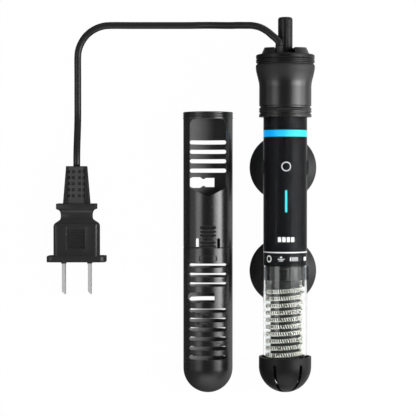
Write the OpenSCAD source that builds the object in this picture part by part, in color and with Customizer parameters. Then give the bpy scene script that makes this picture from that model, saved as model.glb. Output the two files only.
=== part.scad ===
// Submersible aquarium heater with suction cups, a plug-in mains lead and a two-piece guard.
// Everything lies on a table, the XY plane: the heater on its two cups with its cap towards +Y,
// the guard beside it, and the lead from the cap to the plug.
// Heater, guard and plug are each drawn upright, +Z up and front towards -Y, then laid down.

/* [Glass tube] */
// Outer diameter of the glass
glass_od = 21; // [19:0.5:23]
// Thickness of the glass
glass_wall = 0.8; // [0.6:0.1:1.0]
// Length of the glass, from its round end to its rim
glass_len = 150; // [146:1:180]

/* [Label sleeve] */
// Thickness of the black sleeve inside the glass
sleeve_wall = 0.5; // [0.3:0.1:0.7]
// Distance from the glass rim down to the sleeve's top
sleeve_drop = 8.1; // [7.1:0.5:10.1]
// Distance from the glass rim down to the coloured band's top
band_drop = 26.3; // [22:0.1:32]
// Height of the coloured band
band_h = 3.2; // [2:0.2:5]
// Thickness of the coloured band
band_t = 0.15; // [0.1:0.05:0.2]
// Distance from the glass rim down to the light bar's top
bar_drop = 55; // [52:0.5:58]
// Length of the light bar
bar_len = 10.4; // [7:0.2:12]
// Width of the light bar
bar_w = 1.25; // [0.8:0.05:2]

/* [Heating element] */
// Thickness of the wound heating strand
strand_d = 2.4; // [1.8:0.1:2.6]
// Rise of the heating coil in one turn
coil_pitch = 3.38; // [3.1:0.02:3.8]
// Turns of the heating coil
coil_turns = 9.75; // [6.75:1:10.75]
// Radius of the bend into each end of the coil
coil_bend = 1.4; // [1.3:0.05:1.5]
// Straight length at each end of the coil
coil_lead = 2.52; // [2.4:0.02:3.2]
// Clear ring between the coil and the glass
coil_gap = 0.2; // [0.15:0.05:0.4]
// Height of the grey collar above the coil
collar_h = 5.6; // [4:0.2:8]
// Height of the thin flange on the collar
collar_flange_h = 0.9; // [0.6:0.1:1.5]
// Clear ring between the collar and the glass
collar_gap = 0.6; // [0.3:0.1:0.9]

/* [Control unit] */
// Thickness of the circuit board
board_t = 1.2; // [0.8:0.1:1.6]
// Diameter of the potentiometer
pot_d = 8; // [7:0.5:9]
// Height of the potentiometer
pot_h = 6.9; // [5:0.1:8]
// Diameter of the knob's spindle
spindle_d = 3; // [2.4:0.1:3.4]
// Thickness of the power wires
wire_d = 1.2; // [0.8:0.1:1.4]

/* [Head and cap] */
// Thickness of the head's skirt round the glass
head_wall = 2; // [1.7:0.1:3]
// Length of glass held inside the head
head_grip = 20; // [17:0.5:24]
// Height of the head's shell
head_h = 25.2; // [24.6:0.2:32]
// How far the head flares out at its top
head_flare = 1.65; // [1:0.05:2.2]
// Thickness of the rubber rings between the head and the glass
oring_d = 1.3; // [1:0.1:1.5]
// Height of the screwed cap ring
cap_ring_h = 4; // [4:0.1:7]
// Height of the hub over the cap ring
hub_h = 4.1; // [2.6:0.1:5]
// How much lower the top of the hub is at the front
hub_slope = 1.2; // [0:0.1:1.3]
// How far the hub tapers in towards its top
hub_taper = 1.9; // [1:0.1:2.4]
// Height of the notch's floor over the cap ring
notch_floor = 0.2; // [0.2:0.1:1.4]

/* [Temperature knob] */
// Diameter of the knob
knob_d = 7; // [5.5:0.25:7.5]
// Height of the knob
knob_h = 17.9; // [12:0.1:24]
// Flutes round the knob
knob_flutes = 12; // [8:1:16]
// Distance of the knob behind the tube's axis
knob_back = 2.5; // [2.2:0.1:3]
// Distance of the knob to the right of the axis
knob_side = 0.1; // [0:0.1:0.5]

/* [Cord gland] */
// Diameter of the cord
cord_d = 3.4; // [3:0.1:3.8]
// Distance of the gland to the left of the axis
gland_side = 3.2; // [2.5:0.05:3.2]
// Distance of the gland in front of the axis
gland_front = 3.8; // [3.6:0.1:4.4]
// Height of the gland over its seat
gland_h = 3.8; // [2.4:0.1:4.4]

/* [End bumper] */
// Clear ring between the glass and the bumper's wall
bumper_gap = 1.1; // [0.8:0.1:1.8]
// Thickness of the bumper's wall
bumper_wall = 1; // [0.8:0.1:1.6]
// Height of the bumper's straight rim above its round end
bumper_rim_h = 4.6; // [3:0.2:8]
// Slots in the bumper
bumper_slots = 6; // [4:1:8]
// Width of the bumper's slots
bumper_slot_w = 1.6; // [1:0.1:2]

/* [Clips and suction cups] */
// Diameter of a suction cup
cup_d = 33; // [28:1:34]
// Height of a suction cup up to the clip
cup_h = 7; // [6:0.2:9]
// Thickness of a cup's lip
cup_lip_t = 0.6; // [0.4:0.1:1.2]
// Depth of the hollow under a cup
cup_hollow = 3.2; // [2:0.2:3.6]
// Diameter of a cup's button
button_d = 5.2; // [4.4:0.2:5.2]
// Diameter of the neck under the button
button_neck_d = 3.2; // [2.6:0.1:3.2]
// Thickness of a clip's arms
clip_wall = 0.9; // [0.8:0.1:1.8]
// Length of a clip along the tube
clip_len = 6.4; // [6.4:0.2:9]
// Thickness of the plate that holds a cup's button
clip_plate = 1.8; // [1:0.1:2]
// How far round the tube a clip's arms reach, in degrees
clip_wrap = 192; // [192:2:230]
// Distance from the glass rim down to the middle of the upper clip
clip_drop = 44; // [42:0.5:50]
// Distance between the two clips
clip_pitch = 51; // [44:0.5:56]

/* [Guard] */
// Clear ring between the glass and the guard
guard_gap = 0.4; // [0.3:0.1:1]
// Thickness of the guard's wall
guard_wall = 1.1; // [1:0.1:1.6]
// Length of the whole guard
guard_len = 136.4; // [134:0.2:150]
// Length of the guard's lower half
guard_lower_len = 70.6; // [70:0.2:74]
// Height of the ringed rim
guard_rim_h = 3.3; // [2.8:0.1:5]
// How far the rim stands out
guard_rim_out = 0.15; // [0.1:0.05:0.4]
// Length of the joint between the two halves
guard_lap = 7; // [6.6:0.1:7.2]
// Running clearance in that joint
guard_fit = 0.1; // [0.06:0.02:0.14]
// Width of the front window
window_w = 17.4; // [14:0.2:18]
// Height of the window's straight sides
window_h = 33.1; // [30:0.1:34]
// Depth of the point under the window
window_point = 4.4; // [2:0.2:6]
// Height of the cooling slots
slot_h = 2; // [1.4:0.1:2.4]
// Distance from slot to slot
slot_pitch = 4.55; // [4.3:0.05:4.7]
// Width of the cooling slots
slot_w = 18.6; // [15:0.2:19]
// How much lower the back slots lie than the front ones
slot_stagger = 0.2; // [0:0.05:1]
// Height of a keyhole's round end
key_h = 5.3; // [5.3:0.1:5.7]
// Height of a keyhole's neck
key_neck_h = 3.4; // [3.3:0.1:3.8]
// Width of the latch between its slits
latch_w = 8.9; // [8:0.1:9.5]
// Width of each slit
slit_w = 1.3; // [0.8:0.1:1.6]
// Distance from rib to rib on the latch grip
rib_pitch = 1.75; // [1.6:0.01:1.9]

/* [Plug] */
// Width of the plug's body
plug_w = 22; // [20:0.5:26]
// Thickness of the plug's body
plug_t = 14; // [12:0.5:16]
// Width of the flange at the blades
plug_flange_w = 28.5; // [27:0.5:32]
// Thickness of that flange, front to back
plug_flange_t = 17; // [16.5:0.5:20]
// Height of that flange
plug_flange_h = 2.8; // [2:0.2:4]
// Length of the strain relief
boot_len = 18.3; // [17:0.1:24]
// Rows of windows in the strain relief
boot_rows = 5; // [3:1:5]
// Distance between the two blades
blade_pitch = 12.7; // [12.7:0.1:13]
// Length of a blade
blade_len = 16; // [14:0.5:18]
// Thickness of a blade
blade_t = 1.5; // [1.4:0.1:1.6]
// Width of a blade
blade_w = 6.3; // [6:0.1:6.6]

/* [Layout] */
// Distance between the axes of the heater and the guard
row_gap = 37.05; // [34:0.05:50]
// How far the guard's end lies below the heater's end
guard_drop = 1.5; // [0:0.1:10]

/* [Hidden] */

$fn = 96;
over = 1;          // how far a cutter runs past what it cuts
seat = 0.05;       // clearance of a piece that sits in another
hair = 0.1;        // clearance of a loose seat

// Glass tube, upright: z = 0 is the lowest point of the end bumper
glass_r = glass_od / 2;
glass_in_r = glass_r - glass_wall;
bumper_in_r = glass_r + bumper_gap;
bumper_r = bumper_in_r + bumper_wall;
round_z = bumper_r;                        // centre of the round ends
glass_end_z = round_z - glass_r;
glass_top_z = glass_end_z + glass_len;
bumper_top_z = round_z + bumper_rim_h;

// Label sleeve
sleeve_r = glass_in_r - seat;
sleeve_in_r = sleeve_r - sleeve_wall;
sleeve_top_z = glass_top_z - sleeve_drop;
band_top_z = glass_top_z - band_drop;
bar_top_z = glass_top_z - bar_drop;
bar_mid_z = bar_top_z - bar_len / 2;

// Heating element, from its foot upwards
strand_r = strand_d / 2;
coil_r = glass_in_r - coil_gap - strand_r;
core_r = coil_r - strand_r - hair;
foot_h = 1.2;
foot_z = round_z - 0.6;
foot_top_z = foot_z + foot_h;
coil_back_turn = 0.2;                      // the coil starts and ends this far past its side
coil_z = foot_top_z + coil_lead + coil_bend + coil_back_turn * coil_pitch;
coil_last_turn = coil_turns - coil_back_turn;
coil_end_z = coil_z + coil_last_turn * coil_pitch + coil_bend + coil_lead;
collar_z = coil_end_z;
collar_top_z = collar_z + collar_h + collar_flange_h;
collar_r = glass_in_r - collar_gap;
lead_x = 4;                                // side distance of the two element leads
lead_up = 8;                               // how far the leads run up the board

// Control unit
board_z = collar_top_z + hair;
pot_z = glass_top_z - 18;
board_top_z = pot_z - hair;
board_w = 2 * sleeve_in_r - 0.7;
module_t = 4.6;                            // depth of the light module on the board
spindle_r = spindle_d / 2;
terminal_z = board_top_z - 7;
terminal_h = 6;

// Head and cap
skirt_r = glass_r + head_wall;
head_z = glass_top_z - head_grip;
head_top_z = head_z + head_h;
head_r = skirt_r + head_flare;
head_bore_r = glass_r + hair;
stopper_flange_h = 1.6;
stopper_plug_h = 6;
stopper_top_z = glass_top_z + seat + stopper_flange_h;
neck_r = head_r - 1.75;                    // the head's neck inside the cap ring
neck_in_r = glass_r - 0.3;
neck_h = 2.3;
neck_top_z = head_top_z + neck_h;
gasket_h = 0.5;
cap_z = head_top_z + gasket_h + hair;
cap_top_z = cap_z + cap_ring_h;
plate_flange_h = 1.1;
plate_z = neck_top_z + hair;
plate_flange_top_z = plate_z + plate_flange_h;
hub_r = neck_r - 0.75;
hub_top_z = cap_top_z + hub_h;
hub_floor_z = cap_top_z + notch_floor;     // floor of the notch round knob and cord
knob_z = hub_floor_z + 0.15;
heater_len = knob_z + knob_h;
knob_r = knob_d / 2;
cord_r = cord_d / 2;
gland_top_z = hub_floor_z + gland_h;

// Where things lie on the table
guard_in_r = glass_r + guard_gap;
guard_r = guard_in_r + guard_wall;
guard_rim_r = guard_r + guard_rim_out;
clip_r = glass_r + seat;
clip_out_r = clip_r + clip_wall;
button_room = 2.65;                        // space for a cup's button under the arms
axis_z = cup_h + hair + clip_plate + button_room + clip_out_r;
span = max(heater_len, guard_len - guard_drop) + guard_drop;
guard_y = -span / 2;
heater_y = guard_y + guard_drop;
guard_x = -(row_gap + cup_d / 2 - guard_rim_r) / 2;
heater_x = guard_x + row_gap;
upper_clip_z = glass_top_z - clip_drop;
lower_clip_z = upper_clip_z - clip_pitch;

// Guard, upright: z = 0 is its round end
split_z = guard_lower_len;
upper_seam = 90;                           // where each turned wall starts and ends: at the
lower_seam = 105;                          // back, clear of the latch
split_gap = 0.2;
edge_cut = 0.25;                           // bevel on the edges at the split
lap_r = guard_in_r + (guard_wall - guard_fit) / 2;
socket_r = lap_r + guard_fit;
window_top_z = guard_len - guard_rim_h - 0.25;
window_low_z = window_top_z - window_h;
catch_w = 8.6;
catch_h = 2.7;
catch_z = split_z - 4.85;                  // middle of the catch window
catch_web = 1.1;                           // wall between the catch window and the first slot
slots_above_key = 3;
slots_below_key = 6;
key_web = 2.65;                            // wall between the front keyhole and its slots
key_step = (key_h + slot_h) / 2 + key_web;
first_slot_z = catch_z - (catch_h + slot_h) / 2 - catch_web;
front_key_z = first_slot_z - (slots_above_key - 1) * slot_pitch - key_step;
first_low_slot_z = front_key_z - key_step;
back_window_slots = 4;
back_window_slot_z = window_top_z - 10.9;
window_slot_pitch = slot_pitch + 0.08;
back_key_web = 2.2;                        // wall between the back keyhole and its slots
back_key_z = back_window_slot_z - (back_window_slots - 1) * window_slot_pitch
    - (key_h + slot_h) / 2 - back_key_web;
joint_key_z = split_z + 2.45;              // keyhole at the back, across the joint
latch_half = latch_w / 2;
slit_x = latch_half + slit_w / 2;
slit_top_z = split_z + 4.9;
latch_root_z = slit_top_z - 0.55;
rib_count = 5;
rib_first_z = split_z + 1.9;
grip_half = latch_half - 0.65;
grip_y = sqrt(guard_r * guard_r - grip_half * grip_half);

// Cord: centre line in table coordinates, chosen by hand, from the gland to the plug
cord_route = [
    [13.15, 76.6, 26.8], [13.05, 78.2, 26.7], [11.9, 79.9, 26.2], [10, 81.6, 25.4],
    [7.6, 83.8, 24], [4.3, 85.9, 21.6], [0.7, 87, 19], [-2.4, 87.3, 16.8],
    [-6.2, 87.6, 13.9], [-10, 87.8, 11], [-13.9, 88.1, 8.3], [-17.8, 88.4, 5.8],
    [-21.7, 88.6, 3.8], [-25.7, 88.7, 2.5], [-29.6, 88.7, 1.9], [-34, 88.7, 1.75],
    [-46, 88.7, 1.75], [-58, 88.7, 1.75], [-69, 88.7, 1.75], [-73.1, 88.2, 1.75],
    [-77, 86.6, 1.75], [-80.3, 84.1, 1.75], [-82.8, 80.8, 1.75], [-84.4, 76.9, 1.75],
    [-84.9, 72.8, 1.75], [-84.9, 64, 1.75], [-84.9, 55, 1.75], [-84.9, 46, 1.8],
    [-84.9, 42, 2.25], [-84.9, 38, 3.5], [-84.9, 34, 5.1], [-84.9, 30, 6.8],
    [-84.9, 26, 8], [-84.9, 22, 8.5], [-84.9, 19.4, 8.5]
];
cord_sides = 8;
cord_end = cord_route[len(cord_route) - 1];

// Plug, upright: z = 0 is the blade side of its flange
plug_side_h = 14.2;                        // height of the body's straight sides
plug_neck_h = 25.6;                        // height of the upper flange's underside
plug_neck_w = 14.9;
plug_top_flange_w = 19.2;
plug_top_flange_h = 2.8;
boot_z = plug_neck_h + plug_top_flange_h;
plug_len = boot_z + boot_len;
plug_y = cord_end[1] - plug_len;
boot_low_w = 12.8;
boot_top_w = 9.9;
boot_low_t = 9.4;
boot_top_t = 7.4;

// ---------------------------------------------------------------- shared shapes

// Lays a piece that was drawn upright on its back, with its foot at p
module lay_down(p)
    translate(p)
        rotate([-90, 0, 0])
            children();

module lay_heater()
    lay_down([heater_x, heater_y, axis_z])
        children();

module lay_guard()
    lay_down([guard_x, guard_y, guard_rim_r])
        children();

module lay_plug()
    lay_down([cord_end[0], plug_y, cord_end[2]])
        children();

// Half outline of a rod of radius r with a round lower end, up to height top
module capsule_half(r, top)
    intersection() {
        union() {
            translate([0, round_z])
                circle(r);
            translate([0, round_z])
                square([r, top - round_z]);
        }
        translate([0, round_z - r])
            square([r, top - round_z + r]);
    }

// Ring between two radii, from z upwards
module ring(outer, inner, z, h)
    translate([0, 0, z])
        difference() {
            cylinder(r = outer, h = h);
            translate([0, 0, -over])
                cylinder(r = inner, h = h + 2 * over);
        }

// Upright rod at [x, y]
module rod(x, y, r, z, h)
    translate([x, y, z])
        cylinder(r = r, h = h);

// Box given by its two corners
module block(low, high)
    translate(low)
        cube(high - low);

// Torus round the axis
module o_ring(mid_r, d, z)
    translate([0, 0, z])
        rotate_extrude()
            translate([mid_r, 0])
                circle(d = d);

// Cuts a flat outline, drawn in x and z, forwards from the axis
module cut_front(z, reach)
    translate([0, 0, z])
        rotate([90, 0, 0])
            linear_extrude(reach)
                children();

module cut_back(z, reach)
    mirror([0, 1, 0])
        cut_front(z, reach)
            children();

// Rectangle with round corners, centred
module round_rect(w, h, r) {
    square([w - 2 * r, h], center = true);
    square([w, h - 2 * r], center = true);
    for (x = [-1, 1], y = [-1, 1])
        translate([x * (w / 2 - r), y * (h / 2 - r)])
            circle(r);
}

// Tube wall swept along rings of points; every ring has the same number of points
module swept_tube(rings) {
    sides = len(rings[0]);
    last = len(rings) - 1;
    points = [for (ring = rings) each ring];
    walls = [for (i = [0 : last - 1], k = [0 : sides - 1])
        let (a = i * sides + k, b = i * sides + (k + 1) % sides)
            each [[a, a + sides, b + sides], [a, b + sides, b]]];
    low_cap = [for (k = [1 : sides - 2]) [0, k, k + 1]];
    high_cap = [for (k = [1 : sides - 2])
        [last * sides, last * sides + k + 1, last * sides + k]];
    polyhedron(points = points, faces = concat(walls, low_cap, high_cap));
}

function unit(v) = v / norm(v);

// One ring of a tube at point p: u and v are its two cross directions
function tube_ring(p, u, v, r, sides) =
    [for (k = [0 : sides - 1]) p + r * (cos(k * 360 / sides) * u + sin(k * 360 / sides) * v)];

// ---------------------------------------------------------------- glass and sleeve

module glass_tube()
    color([0.8, 0.88, 0.92, 0.35])
        lay_heater()
            rotate_extrude()
                difference() {
                    capsule_half(glass_r, glass_top_z);
                    capsule_half(glass_in_r, glass_top_z + over);
                }

// Stadium outline of the light bar
module bar_outline(w, h)
    round_rect(w, h, w / 2 - 0.001);

module label_sleeve()
    color([0.07, 0.07, 0.08])
        lay_heater()
            difference() {
                sleeve_z = collar_top_z + 0.5;
                ring(sleeve_r, sleeve_in_r, sleeve_z, sleeve_top_z - sleeve_z);
                ring(sleeve_r + over, sleeve_r - band_t - seat, band_top_z - band_h - seat,
                    band_h + 2 * seat);
                cut_front(bar_mid_z, glass_r)
                    bar_outline(bar_w + 2 * seat, bar_len + 2 * seat);
            }

module accent_band()
    color([0.1, 0.82, 0.98])
        lay_heater()
            ring(sleeve_r, sleeve_r - band_t, band_top_z - band_h, band_h);

// Light guide: a flush stem in the sleeve's slot, a flange behind it and a block to the lamps
module light_bar() {
    flange_y = sleeve_in_r - 0.25;
    flange_t = 1;
    color([0.2, 0.95, 1])
        lay_heater() {
            intersection() {
                cut_front(bar_mid_z, glass_r)
                    bar_outline(bar_w, bar_len);
                ring(sleeve_r - seat, flange_y - seat, bar_mid_z - bar_len, 2 * bar_len);
            }
            block([-bar_w, -flange_y, bar_mid_z - bar_len / 2 - 1],
                [bar_w, -flange_y + flange_t, bar_mid_z + bar_len / 2 + 1]);
            block([-bar_w, -flange_y, bar_mid_z - bar_len / 2],
                [bar_w, -module_t - hair, bar_mid_z + bar_len / 2]);
        }
}

module light_module()
    color([0.85, 0.85, 0.8])
        lay_heater()
            block([-2, -module_t, bar_mid_z - bar_len / 2],
                [2, -seat, bar_mid_z + bar_len / 2]);

// ---------------------------------------------------------------- control unit

module control_board()
    color([0.05, 0.35, 0.2])
        lay_heater()
            block([-board_w / 2, 0, board_z], [board_w / 2, board_t, board_top_z]);

// Terminal block, relay, driver, capacitor and coil choke, each a separate solid
module board_parts() {
    front = -seat;
    back = board_t + seat;
    terminal_w = 6.5;
    relay_w = 9;
    relay_t = 6.8;
    relay_h = 15;
    relay_top = terminal_z - 5;
    driver_w = 7;
    driver_t = 3.4;
    driver_z = board_z + 12;
    can_h = 9;
    choke_r = 2.4;
    capacitor_r = 2.6;
    color([0.2, 0.22, 0.26])
        lay_heater() {
            block([-gland_side - terminal_w / 2, front - 5.4, terminal_z],
                [terminal_w / 2 - gland_side, front, terminal_z + terminal_h]);
            block([-relay_w / 2, front - relay_t, relay_top - relay_h],
                [relay_w / 2, front, relay_top]);
            block([-driver_w / 2, back, driver_z], [driver_w / 2, back + driver_t, driver_z + can_h]);
            rod(0, back + capacitor_r, capacitor_r, driver_z + can_h + 4, can_h);
            rod(0, front - choke_r, choke_r, driver_z + 2, can_h);
        }
}

module thermal_fuse() {
    fuse_r = 1.5;
    color([0.85, 0.85, 0.88])
        lay_heater()
            rod(6.2, board_t + seat + fuse_r, fuse_r, board_z + 3, 9);
}

module temperature_probe() {
    probe_r = 1.2;
    color([0.75, 0.55, 0.2])
        lay_heater()
            rod(-6.5, board_t + seat + probe_r, probe_r, board_z + 2, 6);
}

// Two wires from the cord's gland down to the terminal block
module supply_wires() {
    wire_gap = wire_d / 2 + hair;
    wire_z = terminal_z + terminal_h + seat;
    color([0.75, 0.2, 0.15])
        lay_heater()
            for (side = [-1, 1])
                rod(-gland_side + side * wire_gap, -gland_front, wire_d / 2, wire_z,
                    plate_z - 1.2 - wire_z);
}

module potentiometer()
    color([0.15, 0.3, 0.6])
        lay_heater()
            rod(knob_side, knob_back, pot_d / 2, pot_z, pot_h);

// ---------------------------------------------------------------- knob

module knob_spindle() {
    spindle_z = pot_z + pot_h + hair;
    color([0.75, 0.76, 0.78])
        lay_heater()
            rod(knob_side, knob_back, spindle_r, spindle_z, knob_z + knob_h / 2 - spindle_z);
}

// Fluted post with a rounded top and a blind hole for its spindle
module temperature_knob() {
    top_round = 1.2;
    flute_r = 0.55;
    flute_out = 0.3;
    color([0.1, 0.1, 0.11])
        lay_heater()
            translate([knob_side, knob_back, knob_z])
                difference() {
                    rotate_extrude() {
                        square([knob_r, knob_h - top_round]);
                        square([knob_r - top_round, knob_h]);
                        intersection() {
                            translate([knob_r - top_round, knob_h - top_round])
                                circle(top_round);
                            square([knob_r, knob_h]);
                        }
                    }
                    for (i = [0 : knob_flutes - 1])
                        rotate([0, 0, (i + 0.5) * 360 / knob_flutes])
                            rod(knob_r + flute_out, 0, flute_r, top_round, knob_h);
                    translate([0, 0, -over])
                        cylinder(r = spindle_r + seat, h = knob_h / 2 + hair + over);
                }
}

module knob_seal()
    color([0.12, 0.12, 0.12])
        lay_heater()
            translate([knob_side, knob_back, 0])
                o_ring(spindle_r + seat + oring_d / 2, oring_d, plate_z + oring_d / 2 + hair);

// ---------------------------------------------------------------- head and cap

// Rubber bung in the mouth of the glass, with holes for the spindle and the wires
module tube_stopper()
    color([0.16, 0.16, 0.17])
        lay_heater()
            difference() {
                union() {
                    rod(0, 0, glass_in_r - seat, glass_top_z - stopper_plug_h, stopper_plug_h + over);
                    rod(0, 0, glass_r, glass_top_z + seat, stopper_flange_h - seat);
                }
                rod(knob_side, knob_back, spindle_r + seat, head_z, head_h);
                rod(-gland_side, -gland_front, wire_d + 0.4, head_z, head_h);
            }

module tube_seals()
    color([0.1, 0.1, 0.1])
        lay_heater()
            for (z = seal_heights)
                o_ring(glass_r + seat + oring_d / 2, oring_d, z);

seal_step = 5;                             // distance between the two seals
seal_heights = [head_z + 8, head_z + 8 + seal_step];

// How far the head has flared at height z, from 0 to 1
function flare_at(z) =
    let (low = head_z + 14.4, high = head_top_z - 1.1, t = min(max((z - low) / (high - low), 0), 1))
        t * t * (3 - 2 * t);

// Turned housing: two beads at its mouth, a flared shoulder and a neck for the cap ring
module head_shell() {
    groove = 0.45;
    bead = 0.1;
    flare_low = head_z + 14.4;
    flare_steps = 12;
    flare_rise = (head_top_z - 1.1 - flare_low) / flare_steps;
    seal_r = glass_r + 2 * seat + oring_d;
    seal_half = oring_d / 2 + 0.15;
    mouth = [
        [skirt_r + bead, head_z], [skirt_r + bead, head_z + 0.3], [skirt_r, head_z + 1.5],
        [skirt_r - groove, head_z + 1.7], [skirt_r - groove, head_z + 2],
        [skirt_r, head_z + 2.2], [skirt_r + bead, head_z + 2.7], [skirt_r - bead, head_z + 3.2],
        [skirt_r + bead, head_z + 3.7], [skirt_r, head_z + 4.2],
        [skirt_r - groove, head_z + 4.45], [skirt_r - groove, head_z + 5.1],
        [skirt_r, head_z + 5.4]];
    flare = [for (i = [0 : flare_steps])
        let (z = flare_low + i * flare_rise) [skirt_r + head_flare * flare_at(z), z]];
    shoulder = [
        [head_r - 0.05, head_top_z - 0.6], [head_r - 0.25, head_top_z - 0.2],
        [head_r - 0.5, head_top_z], [neck_r, head_top_z], [neck_r, neck_top_z]];
    inside = [
        [neck_in_r, neck_top_z], [neck_in_r, stopper_top_z + hair],
        [head_bore_r, stopper_top_z + hair],
        [head_bore_r, seal_heights[1] + seal_half], [seal_r, seal_heights[1] + seal_half],
        [seal_r, seal_heights[1] - seal_half], [head_bore_r, seal_heights[1] - seal_half],
        [head_bore_r, seal_heights[0] + seal_half], [seal_r, seal_heights[0] + seal_half],
        [seal_r, seal_heights[0] - seal_half], [head_bore_r, seal_heights[0] - seal_half],
        [head_bore_r, head_z]];
    color([0.13, 0.13, 0.14])
        lay_heater()
            rotate_extrude()
                polygon(concat(mouth, flare, shoulder, inside));
}

module cap_gasket()
    color([0.06, 0.06, 0.06])
        lay_heater()
            ring(neck_r + 1.1, neck_r + seat, head_top_z + seat, gasket_h);

// Screwed ring: two thin rings under a rounded band, and a lip over the cap plate
module cap_ring() {
    cap_r = head_r - 0.1;
    lip = 0.4;
    thin = 0.7;
    crease = 0.35;
    profile = [
        [neck_r + hair, cap_z], [cap_r - crease, cap_z], [cap_r, cap_z + crease / 2],
        [cap_r, cap_z + thin], [cap_r - crease, cap_z + thin + 0.15],
        [cap_r, cap_z + thin + 0.3], [cap_r, cap_z + 2 * thin + 0.15],
        [cap_r - crease, cap_z + 2 * thin + 0.3], [cap_r - lip, cap_z + 2 * thin + 0.4],
        [cap_r, cap_z + 2 * thin + 0.4 + lip], [cap_r, cap_top_z - lip],
        [cap_r - lip, cap_top_z], [hub_r + hair, cap_top_z],
        [hub_r + hair, plate_flange_top_z + hair], [neck_r + hair, plate_flange_top_z + hair]];
    color([0.11, 0.11, 0.12])
        lay_heater()
            rotate_extrude()
                polygon(profile);
}

// Plate under the cap ring with a tapered hub, notched at the front round knob and cord
module cap_plate() {
    notch_left = gland_side + cord_r + 0.6;
    notch_right = knob_side + knob_r + 0.5;
    notch_back = knob_back + knob_r + 0.4;
    seal_room_r = spindle_r + seat + oring_d + seat;
    profile = [
        [0, plate_z], [neck_r - seat, plate_z], [neck_r - seat, plate_flange_top_z],
        [hub_r, plate_flange_top_z], [hub_r, cap_top_z], [hub_r - hub_taper, hub_top_z],
        [0, hub_top_z]];
    color([0.09, 0.09, 0.1])
        lay_heater()
            difference() {
                rotate_extrude()
                    polygon(profile);
                block([-notch_left, -hub_r - over, hub_floor_z],
                    [notch_right, notch_back, hub_top_z + over]);
                translate([0, hub_r, hub_top_z])
                    rotate([atan(hub_slope / (2 * hub_r)), 0, 0])
                        block([-2 * hub_r, -4 * hub_r, 0], [2 * hub_r, hub_r, 2 * hub_h]);
                rod(knob_side, knob_back, spindle_r + seat, plate_z - over, hub_h + cap_ring_h);
                rod(knob_side, knob_back, seal_room_r, plate_z - over, over + oring_d + 2 * hair);
                rod(-gland_side, -gland_front, cord_r + 0.3 + seat, plate_z - over,
                    hub_h + cap_ring_h);
            }
}

// Flared collar round the cord, with a stem through the plate and a flange under it
module cord_gland() {
    stem_r = cord_r + 0.3;
    base_r = cord_r + 0.45;
    top_r = cord_r + 0.1;
    color([0.1, 0.1, 0.1])
        lay_heater()
            translate([-gland_side, -gland_front, 0])
                rotate_extrude()
                    polygon([
                        [0, plate_z - 1.1], [stem_r + 0.8, plate_z - 1.1],
                        [stem_r + 0.8, plate_z - seat], [stem_r, plate_z - seat],
                        [stem_r, hub_floor_z + seat], [base_r, hub_floor_z + seat],
                        [top_r + 0.1, hub_floor_z + gland_h / 2], [top_r, gland_top_z],
                        [0, gland_top_z]]);
}

// ---------------------------------------------------------------- heating element

// Direction from the axis to the coil at an angle counted from its left side, through the front
function coil_out(a) = [-cos(a), -sin(a), 0];
function coil_along(a) = [sin(a), -cos(a), 0];
function coil_at(turn) =
    coil_r * coil_out(turn * 360) + [0, 0, coil_z + turn * coil_pitch];

coil_steps = 24;                           // rings in a turn
coil_sides = 6;
bend_steps = 5;
coil_slope = unit([0, 2 * PI * coil_r, coil_pitch]);

// Centre line of the coil as [point, direction, outward direction]: up from the foot, round the
// turns and up into the collar
function coil_path() =
    let (first = -coil_back_turn, last = coil_last_turn,
        low = coil_at(first), high = coil_at(last),
        low_t = coil_along(first * 360), high_t = coil_along(last * 360),
        low_u = coil_out(first * 360), high_u = coil_out(last * 360),
        up = [0, 0, 1], count = round(coil_turns * coil_steps))
    concat(
        [[low - coil_bend * low_t - [0, 0, coil_bend + coil_lead - seat], up, low_u]],
        [for (i = [0 : bend_steps - 1]) let (b = 90 * (1 - i / bend_steps))
            [low - coil_bend * (sin(b) * low_t + (1 - cos(b)) * up),
                sin(b) * up + cos(b) * low_t, low_u]],
        [for (i = [0 : count]) let (turn = first + (last - first) * i / count, a = turn * 360)
            [coil_at(turn), coil_slope[1] * coil_along(a) + coil_slope[2] * up, coil_out(a)]],
        [for (i = [1 : bend_steps]) let (b = 90 * i / bend_steps)
            [high + coil_bend * (sin(b) * high_t + (1 - cos(b)) * up),
                sin(b) * up + cos(b) * high_t, high_u]],
        [[high + coil_bend * high_t + [0, 0, coil_bend + coil_lead - seat], up, high_u]]);

// Least distance between coil points that are more than half a turn apart
function least_gap(path) =
    let (far = coil_steps / 2 + 1, reach = coil_steps + 6, last = len(path) - 1)
        min([for (i = [0 : 2 : last - far], j = [i + far : min(i + reach, last)])
            norm(path[i][0] - path[j][0])]);

module heating_coil() {
    path = coil_path();
    echo(str("heating coil: least gap to itself ", least_gap(path) - strand_d, " mm"));
    color([0.72, 0.72, 0.74])
        lay_heater()
            swept_tube([for (s = path)
                tube_ring(s[0], s[2], cross(s[1], s[2]), strand_r, coil_sides)]);
}

// Ceramic rod with a foot for the coil's lower end and a waist under the collar
module ceramic_core() {
    waist = 0.5;
    core_top_z = collar_z - seat;
    profile = [
        [0, foot_z], [collar_r, foot_z], [collar_r, foot_top_z], [core_r, foot_top_z],
        [core_r, core_top_z - 3], [core_r - waist, core_top_z - 2],
        [core_r - waist, core_top_z - 0.6], [core_r, core_top_z], [0, core_top_z]];
    color([0.82, 0.8, 0.76])
        lay_heater()
            difference() {
                rotate_extrude()
                    polygon(profile);
                lead_holes(core_top_z - 2.5, wire_d / 2 + seat);
            }
}

// Two holes for the element leads, open upwards from z
module lead_holes(z, r)
    for (side = [-1, 1])
        rod(side * lead_x, -wire_d / 2 - seat, r, z, glass_len);

module element_collar()
    color([0.42, 0.43, 0.45])
        lay_heater()
            difference() {
                union() {
                    rod(0, 0, collar_r, collar_z, collar_h);
                    rod(0, 0, collar_r + 0.3, collar_z + collar_h, collar_flange_h);
                }
                lead_holes(collar_z - over, wire_d / 2 + seat);
            }

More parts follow.
